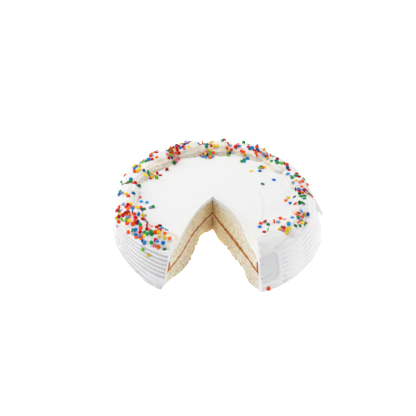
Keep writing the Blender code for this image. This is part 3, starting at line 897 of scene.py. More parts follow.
def outer_icing(spokes):
    """The coat's outer surface: the top from the apex out, the rounded rim, and the side to the foot."""
    share = np.linspace(0.0, 1.0, TOP_STEPS + 1)[:, None]
    edge = spoke_length(spokes, lambda angle: smooth_wall(angle, CAKE_HEIGHT) - SHOULDER)
    rows = [spoke_points(spokes[None, :], edge[None, :] * share, CAKE_HEIGHT)]
    for step in range(1, SHOULDER_STEPS + 1):
        past = math.sin(0.5 * math.pi * step / SHOULDER_STEPS)
        height = CAKE_HEIGHT - SHOULDER_DROP * (1 - math.sqrt(max(0.0, 1 - past ** 2)))
        length = spoke_length(spokes, lambda angle: smooth_wall(angle, CAKE_HEIGHT) - SHOULDER * (1 - past))
        rows.append(spoke_points(spokes, length, height)[None])
    top_of_wall = CAKE_HEIGHT - SHOULDER_DROP - WALL_START_DROP
    for height in np.linspace(top_of_wall, 0.0, WALL_STEPS + 1):
        length = spoke_length(spokes, lambda angle: wall_radius(angle, height))
        rows.append(spoke_points(spokes, length, height)[None])
    return np.concatenate(rows)


def inner_icing(spokes, rows):
    """The coat's inner surface, with as many rows as the outer one."""
    ceiling = CAKE_HEIGHT - ICING_TOP
    sagged = ceiling - ROOF_SAG
    top_rows = TOP_STEPS + 1
    side_rows = rows - top_rows - INNER_CORNER_STEPS
    rim = RIM_RADIUS - ICING_SIDE
    grids = []
    flat = spoke_length(spokes, lambda angle: core_radius(angle, sagged) + PIECE_GAP - CORE_SHOULDER)
    for share in np.linspace(0.0, 1.0, top_rows):
        out = np.minimum(axis_share(spokes, flat * share), 1 - CORE_SHOULDER / rim)
        grids.append(spoke_points(spokes, flat * share, ceiling - roof_drop(out, rim)))
    for step in range(1, INNER_CORNER_STEPS + 1):
        turn = 0.5 * math.pi * step / INNER_CORNER_STEPS
        height = sagged - CORE_SHOULDER * (1 - math.cos(turn))
        inward = CORE_SHOULDER * (1 - math.sin(turn))
        length = spoke_length(spokes, lambda angle: core_radius(angle, height) + PIECE_GAP - inward)
        grids.append(spoke_points(spokes, length, height))
    for height in np.linspace(sagged - CORE_SHOULDER, 0.0, side_rows + 1)[1:]:
        length = spoke_length(spokes, lambda angle: core_radius(angle, height) + PIECE_GAP)
        grids.append(spoke_points(spokes, length, height))
    return np.stack(grids)


def icing_relief(points):
    """Palette knife marks on the top and drag marks round the side, as small moves of the surface."""
    x, y, z = points[..., 0], points[..., 1], points[..., 2]
    radius = np.hypot(x, y)
    angle = np.arctan2(x, -y)
    on_top = fallen(radius, KNIFED_RADIUS, KNIFED_FADE) * (z > CAKE_HEIGHT - 0.00001)
    swell = sum(depth * wander(x * drawn, y, z, marks, seed) for depth, drawn, marks, seed in KNIFE_MARKS)
    offset = np.hypot(x - SEAM_CENTRE[0], y - SEAM_CENTRE[1]) - SEAM_RADIUS
    sweep = np.abs(np.arctan2(y - SEAM_CENTRE[1], x - SEAM_CENTRE[0]))
    seam = fallen(sweep, SEAM_HALF_SWEEP, SEAM_FADE)
    step = SEAM_STEP / (1 + np.exp(-offset / SEAM_STEP_WIDTH)) * np.exp(-np.abs(offset) / SEAM_STEP_FADE)
    ridge = SEAM_RIDGE * np.exp(-(offset / SEAM_RIDGE_WIDTH) ** 2) - step
    points[..., 2] = z + on_top * (swell + seam * ridge)
    on_side = fallen(z, CAKE_HEIGHT - SHOULDER_DROP, DRAG_TOP_FADE) * risen(z, 0.0, DRAG_FOOT_FADE)
    drag = sum(depth * wander(angle * drawn, 0.0, z, marks, seed)
               for depth, drawn, marks, seed in DRAG_MARKS)
    depth, marks, seed = FOOT_LUMPS
    lumps = depth * wander(x, y, z * FOOT_LUMPS_SQUASH, marks, seed) * faded(z, FOOT_LUMPS_TOP)
    depth, marks, seed = SCRAPED_LUMPS
    scraped = turn_hill(angle, *SCRAPED_FOOT) * faded(z, SCRAPED_LUMPS_TOP)
    lumps = lumps + depth * wander(x, y, z, marks, seed) * scraped
    depth, marks, seed = EDGE_LUMPS
    lumps = lumps + depth * np.abs(wander(x, y, z, marks, seed)) * spot(angle, z, PATCH_EDGE_SPOT)
    move = on_side * (drag + lumps)
    points[..., 0] = x + move * np.sin(angle)
    points[..., 1] = y - move * np.cos(angle)
    return points


def icing_coat_sheets():
    """The coat's outer and inner surfaces, its two cut faces, and the ring that it stands on."""
    spokes = spoke_grid()
    outer = rough_cut(icing_relief(outer_icing(spokes)), False)
    inner = rough_cut(inner_icing(spokes[::HIDDEN_EVERY], len(outer)), False)
    sheets = [outer, inner]
    depth = np.linspace(0.0, 1.0, ICING_CUT_STEPS + 1)[None, :, None]
    for end in (0, -1):
        sheets.append(outer[:, end, None] * (1 - depth) + inner[:, end, None] * depth)
    ring = []
    first_inner = outer.shape[0] * outer.shape[1] + (inner.shape[0] - 1) * inner.shape[1]
    first_outer = (outer.shape[0] - 1) * outer.shape[1]
    half = HIDDEN_EVERY // 2
    for block in range(inner.shape[1] - 1):
        start = first_outer + block * HIDDEN_EVERY
        near, far = first_inner + block, first_inner + block + 1
        ring += [(near, start + step, start + step + 1) for step in range(half)]
        ring.append((near, start + half, far))
        ring += [(far, start + step, start + step + 1) for step in range(half, HIDDEN_EVERY)]
    return sheets, ring


def flap_of_icing():
    """The tongue of icing that the comb pulled off the rim: it runs down the side, its tip stands off."""
    along = np.linspace(0.0, 1.0, FLAP_STEPS + 1)[:, None]
    turn = (np.arange(FLAP_SIDES + 1) / FLAP_SIDES * math.tau)[None, :]
    angle = np.radians(FLAP_ROOT_ANGLE + (FLAP_TIP_ANGLE - FLAP_ROOT_ANGLE) * along)
    height = FLAP_ROOT_HEIGHT + (FLAP_TIP_HEIGHT - FLAP_ROOT_HEIGHT) * along
    out = smooth_wall(angle, height) - FLAP_ROOT_DEPTH + FLAP_LIFT * along ** FLAP_CURL
    ragged = 1 + 0.12 * np.sin(9 * along) + 0.09 * np.sin(31 * along + 2 * turn)
    tip = np.sqrt(fallen(along, 1.0, FLAP_TIP_SHARE)) * 0.9 + 0.1
    across = FLAP_HALF_WIDTH * (1 - FLAP_NARROWING * along ** 2) * ragged * tip * np.cos(turn)
    through = 0.5 * FLAP_THICKNESS * (1 - FLAP_THINNING * along) * tip * np.sin(turn)
    radius, angle = out + through, angle - FLAP_SLANT * across / out
    return np.stack([radius * np.sin(angle), -radius * np.cos(angle), height - FLAP_DROP * across], -1)


# Each noise of the icing: how many waves to a metre, its detail and its roughness; then the span of it
# that stains unevenly or shows as stuck crumbs, and what it adds to the roughness and the relief
MOTTLE = (130.0, 4.0, 0.6)
BUBBLES = (1900.0, 2.0, 0.5)
GRIT = (520.0, 3.0, 0.6)
MOTTLE_SPAN = (0.30, 0.62)
GRIT_SPAN = (0.46, 0.62)
UNEVEN_SHARE = 0.55
GRIT_CRUMBS = 1.3
CRUMB_SPAN = (0.95, 1.25)
SMOOTHEST = 0.36
MOTTLE_ROUGHNESS = 0.25
BUBBLE_RISE = 0.25
# The Grey is painted shade in the grooves, on and beside the pressed patch, at the foot and on the -X cut
# face, and grey icing on the scraped foot; the Warm is stain on the coat, and on the shells partly painted
# shade
ICING_COLOURS = {"White": (0.845, 0.845, 0.845, 1.0), "Warm": (0.83, 0.69, 0.46, 1.0),
                 "Grey": (0.66, 0.66, 0.70, 1.0), "Crumb": (0.80, 0.64, 0.40, 1.0)}
ICING_ROUGHNESS = 0.5
ICING_BUMP = 0.0004
ICING_GLOW = 0.10
COAT_BUMP_STRENGTH = 0.22
COAT_SHARP_EDGE = 42.0


def make_icing_grain():
    """Whipped icing: a faint mottle and fine bubbles, warm where it is thin, where it is stained and where
    shade is painted warm, grey where shade is painted and where it was scraped.
    """
    group, given, out = node_group(
        "icing_grain",
        {"White": ("Color", (0.9, 0.9, 0.9, 1.0)), "Warm": ("Color", (0.8, 0.7, 0.6, 1.0)),
         "Grey": ("Color", (0.8, 0.8, 0.85, 1.0)), "Crumb": ("Color", (0.8, 0.6, 0.4, 1.0)),
         "Warm share": ("Float", 0.0), "Grey share": ("Float", 0.0), "Crumb share": ("Float", 0.0)},
        {"Color": "Color", "Roughness": "Float", "Height": "Float"})
    place = place_node(group)
    mottle = noise_node(group, place, *MOTTLE)
    bubbles = noise_node(group, place, *BUBBLES)
    grit = noise_node(group, place, *GRIT)
    gritty = ramp_node(group, grit, *GRIT_SPAN)
    uneven = math_node(group, "ADD", ramp_node(group, mottle, *MOTTLE_SPAN), gritty)
    uneven = math_node(group, "MULTIPLY", uneven, UNEVEN_SHARE)
    warm = math_node(group, "MULTIPLY", given.outputs["Warm share"], uneven, True)
    colour = mix_node(group, warm, given.outputs["White"], given.outputs["Warm"])
    colour = mix_node(group, given.outputs["Grey share"], colour, given.outputs["Grey"])
    crumbs = math_node(group, "MULTIPLY", grit, GRIT_CRUMBS)
    crumbs = math_node(group, "ADD", given.outputs["Crumb share"], crumbs)
    crumbs = ramp_node(group, crumbs, *CRUMB_SPAN)
    crumbs = math_node(group, "MULTIPLY", crumbs, given.outputs["Crumb share"], True)
    group.links.new(mix_node(group, crumbs, colour, given.outputs["Crumb"]), out.inputs["Color"])
    rough = math_node(group, "MULTIPLY", mottle, MOTTLE_ROUGHNESS)
    rough = math_node(group, "ADD", rough, SMOOTHEST)
    group.links.new(rough, out.inputs["Roughness"])
    height = math_node(group, "ADD", math_node(group, "MULTIPLY", bubbles, BUBBLE_RISE), grit)
    group.links.new(height, out.inputs["Height"])
    return group


def icing_material(name, bump_strength):
    """White icing whose points carry how warm and how grey they are, both partly painted shade, and how many
    crumbs stick there.
    """
    material, tree, shader, bump = food_material(
        name, ICING_ROUGHNESS, ICING_BUMP, bump_strength, ICING_GLOW)
    shares = {f"{mask} share": mask_node(tree, mask.lower()) for mask in ("Warm", "Grey", "Crumb")}
    grain = place_group(tree, icing_grain, {**ICING_COLOURS, **shares})
    tree.links.new(grain.outputs["Color"], shader.inputs["Base Color"])
    tree.links.new(grain.outputs["Roughness"], shader.inputs["Roughness"])
    tree.links.new(grain.outputs["Height"], bump.inputs["Height"])
    return material


# The streak of stain near the cut on the -X side runs along a groove and climbs a little; then how warm
# it, the smudge and the patch's upper edge are
STREAK = (-46, 3.4, 0.0325, 0.0012)
STREAK_CLIMB = 0.05
STREAK_WARM = 0.75
SMUDGE_WARM = 0.6
PATCH_WARM = 0.25
# How grey the icing is: painted shade on the pressed patch and beside it, and at the foot; grey icing where
# the foot beside the cut was scraped thin
PATCH_PAINTED_SHADE = 0.50
PATCH_SHADE_GREY = 0.12
BESIDE_PATCH = (30, 14)
BESIDE_PATCH_SHADE = 0.10
# Painted shade greying the side's foot, and how high it reaches
FOOT_PAINTED_SHADE = 0.10
FOOT_SHADE_TOP = 0.006
SCRAPED_GREY = 0.80
# On each cut face: how thick the crumbs stick on the coat beside the layers, and how much painted shade
# greys it outward
CUT_COAT = ((-1, LEFT_ANGLE, 0.0016, 0.35), (1, RIGHT_ANGLE, 0.0006, 0.0))
ON_CUT = 0.00005
SKIN_DEPTH = 0.004
CRUMBS_START = 0.008
CRUMBS_RISE = 0.006
CUT_SHADE_START = 0.055
CUT_SHADE_LENGTH = 0.03


def coat_masks(places):
    """Where the coat is stained; where it is grey, from painted shade in the grooves, on and beside the
    pressed patch, at the foot and on the -X cut face, and from being scraped thin; and where crumbs stick to
    it.
    """
    x, y, z = places.T
    angle = np.arctan2(x, -y)
    radius = np.hypot(x, y)
    deep = straight_wall(angle, z) - radius
    middle, reach, level, span = STREAK
    climb = STREAK_CLIMB * (angle - math.radians(middle))
    warm = STREAK_WARM * spot(angle, z, (middle, reach, level + climb, span))
    warm = warm + SMUDGE_WARM * spot(angle, z, SMUDGE_SPOT) + PATCH_WARM * spot(angle, z, PATCH_STAIN_SPOT)
    # Painted shade on the pressed patch, beside it, at the foot, in the grooves and outward on the -X cut
    # face; grey icing on the scraped foot
    grey = PATCH_PAINTED_SHADE * patch_share(angle, z) * (deep < SKIN_DEPTH)
    grey = grey + PATCH_SHADE_GREY * spot(angle, z, PATCH_SHADE_SPOT)
    grey = grey + FOOT_PAINTED_SHADE * faded(z, FOOT_SHADE_TOP) + BESIDE_PATCH_SHADE * turn_hill(angle, *BESIDE_PATCH)
    on_side = (deep < SKIN_DEPTH) & (z < CAKE_HEIGHT - SHOULDER_DROP)
    grey = grey + SCRAPED_GREY * turn_hill(angle, *SCRAPED_FOOT) * faded(z, SCRAPED_TOP)
    grey = grey + GROOVE_PAINTED_SHADE * on_side * groove_at(angle, z) ** GROOVE_SHARPNESS * comb_strength(angle, z)
    crumbs = np.zeros(len(places))
    rim = RIM_RADIUS - ICING_SIDE
    ceiling = CAKE_HEIGHT - ICING_TOP - roof_drop(radius / rim, rim)
    from_core = np.maximum(z - ceiling, radius - core_radius(angle, z))
    for side, opening, spread, cut_shade in CUT_COAT:
        distance = side * (x - SLICE_APEX[0]) * math.sin(opening) - (y - SLICE_APEX[1]) * math.cos(opening)
        away = side * (x - SLICE_APEX[0]) * math.cos(opening) + (y - SLICE_APEX[1]) * math.sin(opening)
        on_cut = (np.abs(away - cut_offset(distance, z, side)) < ON_CUT) & (y < SLICE_APEX[1])
        above_foot = risen(z, CRUMBS_START, CRUMBS_RISE)
        crumbs = crumbs + on_cut * above_foot * faded(from_core, spread) ** 0.7
        grey = grey + on_cut * cut_shade * risen(distance, CUT_SHADE_START, CUT_SHADE_LENGTH)
    return np.clip(warm, 0.0, 1.0), np.clip(grey, 0.0, 1.0), np.clip(crumbs, 0.0, 1.0)


icing_grain = make_icing_grain()
coat_icing = icing_material("coat_icing", COAT_BUMP_STRENGTH)
coat_sheets, coat_ring = icing_coat_sheets()
coat = joined_sheets("icing_coat_finish", coat_sheets, coat_ring, COAT_SHARP_EDGE)
flap = joined_sheets("flap", [flap_of_icing()])
bm = bmesh.new()
bm.from_mesh(flap.data)
bmesh.ops.holes_fill(bm, edges=bm.edges)
bmesh.ops.recalc_face_normals(bm, faces=bm.faces)
flap_mesh = flap.data
bm.from_mesh(coat.data)
bm.to_mesh(coat.data)
bm.free()
bpy.data.objects.remove(flap)
bpy.data.meshes.remove(flap_mesh)
round_off(coat, COAT_SHARP_EDGE)
coat.data.materials.append(coat_icing)
for mask, values in zip(ICING_MASKS, coat_masks(vertex_places(coat))):
    paint_mask(coat, mask, values)
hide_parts("icing_coat")
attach(coat, "root")

# The border is piped with a star nozzle: each shell swells where the nozzle was squeezed and is drawn out
# to a tail, and the next shell is set on that tail. Shadows in the folds between them look warm.
SHELL_COUNT = 13
BORDER_START = math.radians(17.0)
BORDER_END = math.radians(341.0)
BORDER_RADIUS = 0.0940
BORDER_BENDS = ((88, 52, -0.0022), (50, 30, 0.0020), (130, 40, -0.0032), (222, 90, -0.0036),
                (-52, 40, 0.0018))
SHELL_HALF_WIDTH = 0.0118
SHELL_HEIGHT = 0.0100
# Where shells are wider or taller than the others, or less: middle and reach in degrees, and the share
WIDER_SHELLS = ((90, 60, -0.14), (222, 95, 0.27))
TALLER_SHELLS = ((125, 45, -0.20), (205, 75, 0.28))
SHELL_RIDGES = 6
RIDGE_RELIEF = 0.030
ROUGH_RELIEF = 0.100
LUMP_RELIEF = 0.035
# A shell swells over its head's share from a small start, then shrinks to its tail; the last has no other
# on its tail, and shrinks less
HEAD_SHARE = 0.26
START_WIDTH = 0.22
START_HEIGHT = 0.15
TAIL_SHRINK = 0.55
LAST_TAIL_SHRINK = 0.28
# How unlike the shells are: in length, width, height, distance from the middle, and twist
LENGTH_WANDER = 0.10
WIDTH_WANDER = 0.04
HEIGHT_WANDER = 0.06
PLACE_WANDER = 0.0010
TWIST_WANDER = 0.10
FOOT_TUCK = 0.08
FOOT_SKIRT = 0.0009
TAIL_OVERLAP = 0.22
SHELL_STATIONS = 72
SHELL_SIDES = 84
SHELL_SINK = 0.0003
# Where the shells' inner sides are tinted warm, partly by the crumb's colour through thin icing and partly
# as painted shade: middle, reach, and how much
SHELL_STAINS_AND_SHADE = ((190, 70, 0.80), (245, 30, 0.45), (140, 35, 0.35), (-30, 22, 0.80), (42, 30, 0.40))
STAIN_AND_SHADE_EVERYWHERE = 0.20
STAIN_INWARD = 0.002
STAIN_FADE = 0.010
# Painted shade: how warm the shells are low along their feet and in the folds beside their neighbours, and
# how far that reaches; then how warm the shell by the -X cut is
FEET_PAINTED_SHADE = 0.20
FEET_HEIGHT = 0.0060
FOLD_PAINTED_SHADE = 0.45
FOLD_AT_HEAD = 0.07
FOLD_AT_TAIL = 0.10
CUT_SHELL_WARM = 0.32
CUT_SHELL = (-27, 10)
SHELL_BUMP_STRENGTH = 0.30
SHELL_SHARP_EDGE = 60.0


def shell_span(index):
    """Where a shell starts and how far it reaches, with lengths a little uneven."""
    pitch = (BORDER_END - BORDER_START) / SHELL_COUNT
    start = BORDER_START + pitch * (index + LENGTH_WANDER * math.sin(2.3 * index))
    after = BORDER_START + pitch * (index + 1 + LENGTH_WANDER * math.sin(2.3 * (index + 1)))
    overlap = TAIL_OVERLAP if index < SHELL_COUNT - 1 else 0.0
    return start, (after - start) * (1 + overlap)


def shell_grid(index):
    """A shell's ridged outside and flat underside, from its round head to its tail."""
    start, reach = shell_span(index)
    along = (np.linspace(0.0, 1.0, SHELL_STATIONS + 1) ** 1.35)[:, None]
    angle = start + reach * along
    swell = np.sqrt(1 - (1 - np.minimum(1.0, along / HEAD_SHARE)) ** 2)
    tail = risen(along, HEAD_SHARE, 1 - HEAD_SHARE)
    shrink = 1 - (TAIL_SHRINK if index < SHELL_COUNT - 1 else LAST_TAIL_SHRINK) * tail ** 1.25
    half_width = SHELL_HALF_WIDTH * (START_WIDTH + (1 - START_WIDTH) * swell) * shrink
    half_width = half_width * (1 + WIDTH_WANDER * math.sin(4.1 * index + 0.6))
    half_width = half_width * bent_radius(1.0, WIDER_SHELLS, angle)
    height = SHELL_HEIGHT * (START_HEIGHT + (1 - START_HEIGHT) * swell) * shrink
    height = height * (1 + HEIGHT_WANDER * math.sin(5.3 * index))
    height = height * bent_radius(1.0, TALLER_SHELLS, angle)
    middle = bent_radius(BORDER_RADIUS, BORDER_BENDS, angle) + PLACE_WANDER * math.sin(2.9 * index)
    share = np.linspace(0.0, 1.0, SHELL_SIDES + 1)[None, :]
    turn = -FOOT_TUCK + (math.pi + 2 * FOOT_TUCK) * share
    twist = TWIST_WANDER * math.sin(1.7 * index) + 0.05 * np.sin(9 * along + index)
    ridge = RIDGE_RELIEF * np.cos(math.tau * SHELL_RIDGES * (share + twist * along))
    ridge = ridge * np.sin(math.pi * share) ** 0.5 * (0.55 + 0.45 * swell)
    rough = wander(6.0 * along + 31 * index, 5.0 * share, 0.0, 1.0)
    lump = wander(19.0 * along + 17 * index, 14.0 * share, 9.0, 1.0)
    full = 1 + ridge + ROUGH_RELIEF * rough + LUMP_RELIEF * lump
    tuck = math.sin(FOOT_TUCK)
    foot = middle + half_width * math.cos(FOOT_TUCK)
    skirt = FOOT_SKIRT * faded(np.minimum(share, 1 - share), 0.10) ** 2 * swell
    radius = middle + (half_width * full + skirt) * np.cos(turn)
    rise = height * full * (np.sin(turn) + tuck) / (1 + tuck)
    z = rim_surface(np.minimum(radius, foot), angle) - SHELL_SINK + rise
    over = np.stack([radius * np.sin(angle), -radius * np.cos(angle), z], -1)
    back = np.linspace(0.0, 1.0, 7)[None, 1:-1]
    under_radius = radius[:, -1:] * (1 - back) + radius[:, :1] * back
    under_z = rim_surface(np.minimum(under_radius, foot), angle) - SHELL_SINK
    under = np.stack([under_radius * np.sin(angle), -under_radius * np.cos(angle), under_z], -1)
    return np.concatenate([over, under, over[:, :1]], 1)


def cut_with_knife(bm, side, opening):
    """Takes off what lies in the missing slice, and closes the cut."""
    plane = Vector((side * math.cos(opening), math.sin(opening), 0.0))
    found = bmesh.ops.bisect_plane(bm, geom=bm.verts[:] + bm.edges[:] + bm.faces[:], dist=1e-6,
                                   plane_co=(*SLICE_APEX, 0.0), plane_no=plane, clear_inner=True)
    rim = [edge for edge in found["geom_cut"] if isinstance(edge, bmesh.types.BMEdge)]
    bmesh.ops.holes_fill(bm, edges=rim, sides=0)
    moved = rough_cut(np.array([vertex.co for vertex in bm.verts]), False)
    for vertex, place in zip(bm.verts, moved):
        vertex.co = place


def shell_masks(places, index):
    """Where a shell is painted warm: painted shade low along its feet and in the folds beside its
    neighbours, a tint on its inner side that is partly stain and partly painted shade, and more on the shell
    by the -X cut.
    """
    x, y, z = places.T
    angle = np.unwrap(np.arctan2(x, -y))
    angle = np.where(angle < 0, angle + math.tau, angle)
    radius = np.hypot(x, y)
    start, reach = shell_span(index)
    after = shell_span(index + 1)[0] if index < SHELL_COUNT - 1 else 99.0
    low = faded(z - CAKE_HEIGHT + 0.001, FEET_HEIGHT)
    fold = faded(np.abs(angle - start), FOLD_AT_HEAD) + faded(np.abs(angle - after), FOLD_AT_TAIL)
    inner = fallen(radius, bent_radius(BORDER_RADIUS, BORDER_BENDS, angle) + STAIN_INWARD, STAIN_FADE)
    # The inner-side tint is partly stain and partly painted shade; the feet and the folds get painted shade
    warm = inner * bent_radius(STAIN_AND_SHADE_EVERYWHERE, SHELL_STAINS_AND_SHADE, angle) + low * FEET_PAINTED_SHADE
    warm = warm + FOLD_PAINTED_SHADE * fold * (0.3 + 0.7 * low) + CUT_SHELL_WARM * turn_hill(angle, *CUT_SHELL)
    return np.clip(warm, 0.0, 1.0), np.zeros(len(places)), np.zeros(len(places))


shell_icing = icing_material("shell_icing", SHELL_BUMP_STRENGTH)
shells = []
for index in range(SHELL_COUNT):
    shell = joined_sheets(f"shell_{index + 1:02d}", [shell_grid(index)])
    bm = bmesh.new()
    bm.from_mesh(shell.data)
    bmesh.ops.holes_fill(bm, edges=bm.edges, sides=0)
    for edge_index, side, opening in ((0, 1, RIGHT_ANGLE), (SHELL_COUNT - 1, -1, LEFT_ANGLE)):
        if index == edge_index:
            cut_with_knife(bm, side, opening)
    bmesh.ops.recalc_face_normals(bm, faces=bm.faces)
    bm.to_mesh(shell.data)
    bm.free()
    round_off(shell, SHELL_SHARP_EDGE)
    shell.data.materials.append(shell_icing)
    for mask, values in zip(ICING_MASKS, shell_masks(vertex_places(shell), index)):
        paint_mask(shell, mask, values)
    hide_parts(f"piped_shell_{index + 1:02d}")
    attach(shell, "root")
    shells.append(shell)

# The sprinkles are round flat confetti of hard sugar. They were strewn over the border by hand, so they
# lie in drifts, some flat, some leaning on each other and some on edge, and a few rolled onto the top.
SPRINKLE_RADIUS = 0.0021
SPRINKLE_THICKNESS = 0.0011
SPRINKLE_EDGE = 0.00028
SPRINKLE_SIDES = 18
SPRINKLE_SPACING = 0.0027
EDGEWISE_SHARE = 0.16
# Leans in degrees and lifts in thicknesses, each between two limits, and what each one underneath adds. One
# on its edge is lifted by a share of its radius
EDGEWISE_LEAN = (55, 88)
FLAT_LEAN = (0, 24)
STACKED_LEAN = 9
FLAT_LIFT = (0.20, 0.40)
STACKED_LIFT = 0.8
EDGEWISE_LIFT = 0.62
STACK_REACH = 1.6
STACK_LIMIT = 2
SPRINKLE_SIZES = (0.90, 1.06)
SPRINKLE_SHADES = (0.90, 1.10)
DRIFT_TAIL = 0.55
DRIFT_TRIES = 30
BORDER_FOOT_DROP = 0.0045
ABOVE_CAKE = 0.10
BESIDE_CAKE = 0.20
TOP_ROOM = 0.0010
SPRINKLE_COLOURS = {
    "red": ((0.60, 0.001, 0.006), 13), "deep red": ((0.38, 0.001, 0.004), 6),
    "orange red": ((0.93, 0.062, 0.001), 15), "orange": ((0.95, 0.16, 0.004), 6),
    "yellow": ((0.92, 0.69, 0.020), 11), "golden": ((0.82, 0.50, 0.008), 6),
    "blue": ((0.001, 0.190, 0.60), 13), "deep blue": ((0.001, 0.085, 0.27), 6),
    "light blue": ((0.002, 0.37, 0.80), 4), "green": ((0.001, 0.31, 0.060), 11),
    "deep green": ((0.001, 0.16, 0.030), 6), "lime": ((0.15, 0.54, 0.001), 4),
    "pink": ((0.83, 0.20, 0.25), 5), "lavender": ((0.30, 0.31, 0.58), 4)}
# Each drift: angle, radius, half spread in degrees, half spread in metres, and how many
DRIFTS = (
    (-28, 0.096, 4, 0.007, 4), (-27, 0.104, 3, 0.004, 2), (-36, 0.096, 5, 0.009, 11),
    (-32, 0.104, 4, 0.004, 6), (-42, 0.100, 5, 0.008, 14), (-46, 0.104, 4, 0.004, 4),
    (-43, 0.084, 4, 0.006, 6), (-51, 0.095, 5, 0.009, 14), (-58, 0.101, 5, 0.007, 12),
    (-63, 0.107, 4, 0.003, 5), (-67, 0.091, 5, 0.009, 14), (-72, 0.103, 5, 0.003, 3),
    (-66, 0.081, 5, 0.005, 3), (-81, 0.094, 5, 0.007, 6), (-84, 0.080, 5, 0.004, 2),
    (-97, 0.094, 5, 0.007, 9), (-96, 0.085, 4, 0.003, 4), (-110, 0.091, 5, 0.008, 9),
    (-121, 0.101, 5, 0.005, 8), (-114, 0.077, 5, 0.006, 11), (-128, 0.090, 5, 0.008, 6),
    (-134, 0.100, 5, 0.005, 6), (-143, 0.096, 3, 0.005, 4), (-148, 0.090, 5, 0.007, 17),
    (-143, 0.078, 4, 0.004, 9), (-156, 0.092, 5, 0.007, 9), (-171, 0.092, 4, 0.005, 3),
    (-176, 0.088, 5, 0.007, 9), (-173, 0.077, 4, 0.004, 12), (169, 0.090, 5, 0.008, 9),
    (163, 0.092, 5, 0.006, 6), (158, 0.084, 4, 0.004, 3), (153, 0.074, 3, 0.003, 3),
    (150, 0.088, 5, 0.008, 9), (146, 0.092, 5, 0.006, 6), (140, 0.091, 4, 0.006, 5),
    (136, 0.075, 4, 0.005, 4), (127, 0.089, 6, 0.007, 6), (120, 0.092, 4, 0.004, 4),
    (110, 0.090, 5, 0.006, 3), (104, 0.089, 4, 0.006, 6), (98, 0.092, 3, 0.007, 5),
    (88, 0.092, 5, 0.008, 12), (81, 0.092, 4, 0.006, 4), (81, 0.079, 5, 0.004, 4),
    (72, 0.092, 3, 0.006, 3), (66, 0.099, 3, 0.004, 3), (59, 0.098, 4, 0.006, 12),
    (53, 0.104, 5, 0.002, 2), (46, 0.096, 5, 0.008, 10), (52, 0.081, 5, 0.004, 4),
    (43, 0.073, 5, 0.004, 4), (33, 0.092, 4, 0.006, 2))
LOOSE_ON_TOP = ((-67, 0.0690), (-75, 0.0730), (-129, 0.0700), (110, 0.0550), (113, 0.0700), (132, 0.0670),
                (138, 0.0600))
LOOSE_ON_SIDE = ((-34.5, 0.033), (-38, 0.037), (-66, 0.031), (27, 0.0035))
LOOSE_COLOURS = ("green", "light blue", "deep red", "deep green", "blue", "blue", "yellow", "golden", "lime",
                 "lavender", "orange red")


def sprinkle_shape():
    """A disc with rounded edges, as points and faces."""
    bm = bmesh.new()
    bmesh.ops.create_cone(bm, cap_ends=True, segments=SPRINKLE_SIDES, radius1=SPRINKLE_RADIUS,
                          radius2=SPRINKLE_RADIUS, depth=SPRINKLE_THICKNESS)
    rims = [edge for edge in bm.edges if abs(edge.verts[0].co.z - edge.verts[1].co.z) < 1e-6]
    bmesh.ops.bevel(bm, geom=rims, offset=SPRINKLE_EDGE, segments=2, profile=0.5, affect="EDGES")
    bmesh.ops.triangulate(bm, faces=[face for face in bm.faces if len(face.verts) > 4])
    bm.verts.ensure_lookup_table()
    points = np.array([vertex.co for vertex in bm.verts])
    faces = [[vertex.index for vertex in face.verts] for face in bm.faces]
    bm.free()
    return points, faces


def surface_under(pieces):
    """One search tree over several pieces."""
    points, faces = [], []
    for piece in pieces:
        start = len(points)
        points += [vertex.co.copy() for vertex in piece.data.vertices]
        faces += [[start + index for index in face.vertices] for face in piece.data.polygons]
    return BVHTree.FromPolygons(points, faces)


def polar(radius, angle, height):
    """A point at an angle round the cake's axis."""
    return Vector((radius * math.sin(angle), -radius * math.cos(angle), height))


def lay_sprinkle(point, normal, laid):
    """The place of a sprinkle on a surface, raised where it lies on another one."""
    near = sum(1 for other, _matrix in laid if (other - point).length < STACK_REACH * SPRINKLE_RADIUS)
    stacked = min(STACK_LIMIT, near)
    edgewise = random.random() < EDGEWISE_SHARE
    if edgewise:
        lean = math.radians(random.uniform(*EDGEWISE_LEAN))
    else:
        lean = math.radians(random.uniform(*FLAT_LEAN) + STACKED_LEAN * stacked)
    axis_turn = random.uniform(0, math.tau)
    tilt = Matrix.Rotation(lean, 4, (math.cos(axis_turn), math.sin(axis_turn), 0.0))
    lift = SPRINKLE_THICKNESS * (random.uniform(*FLAT_LIFT) + STACKED_LIFT * stacked)
    lift += EDGEWISE_LIFT * SPRINKLE_RADIUS * math.sin(lean) if edgewise else 0.0
    upright = normal.to_track_quat("Z", "Y").to_matrix().to_4x4()
    return Matrix.Translation(point + normal * lift) @ upright @ tilt


def sprinkle_top(matrix):
    """The height of a sprinkle's highest point."""
    upright = abs(matrix[2][2])
    rim_rise = SPRINKLE_RADIUS * math.sqrt(max(0.0, 1 - upright ** 2))
    return matrix.translation.z + rim_rise + 0.5 * SPRINKLE_THICKNESS * upright


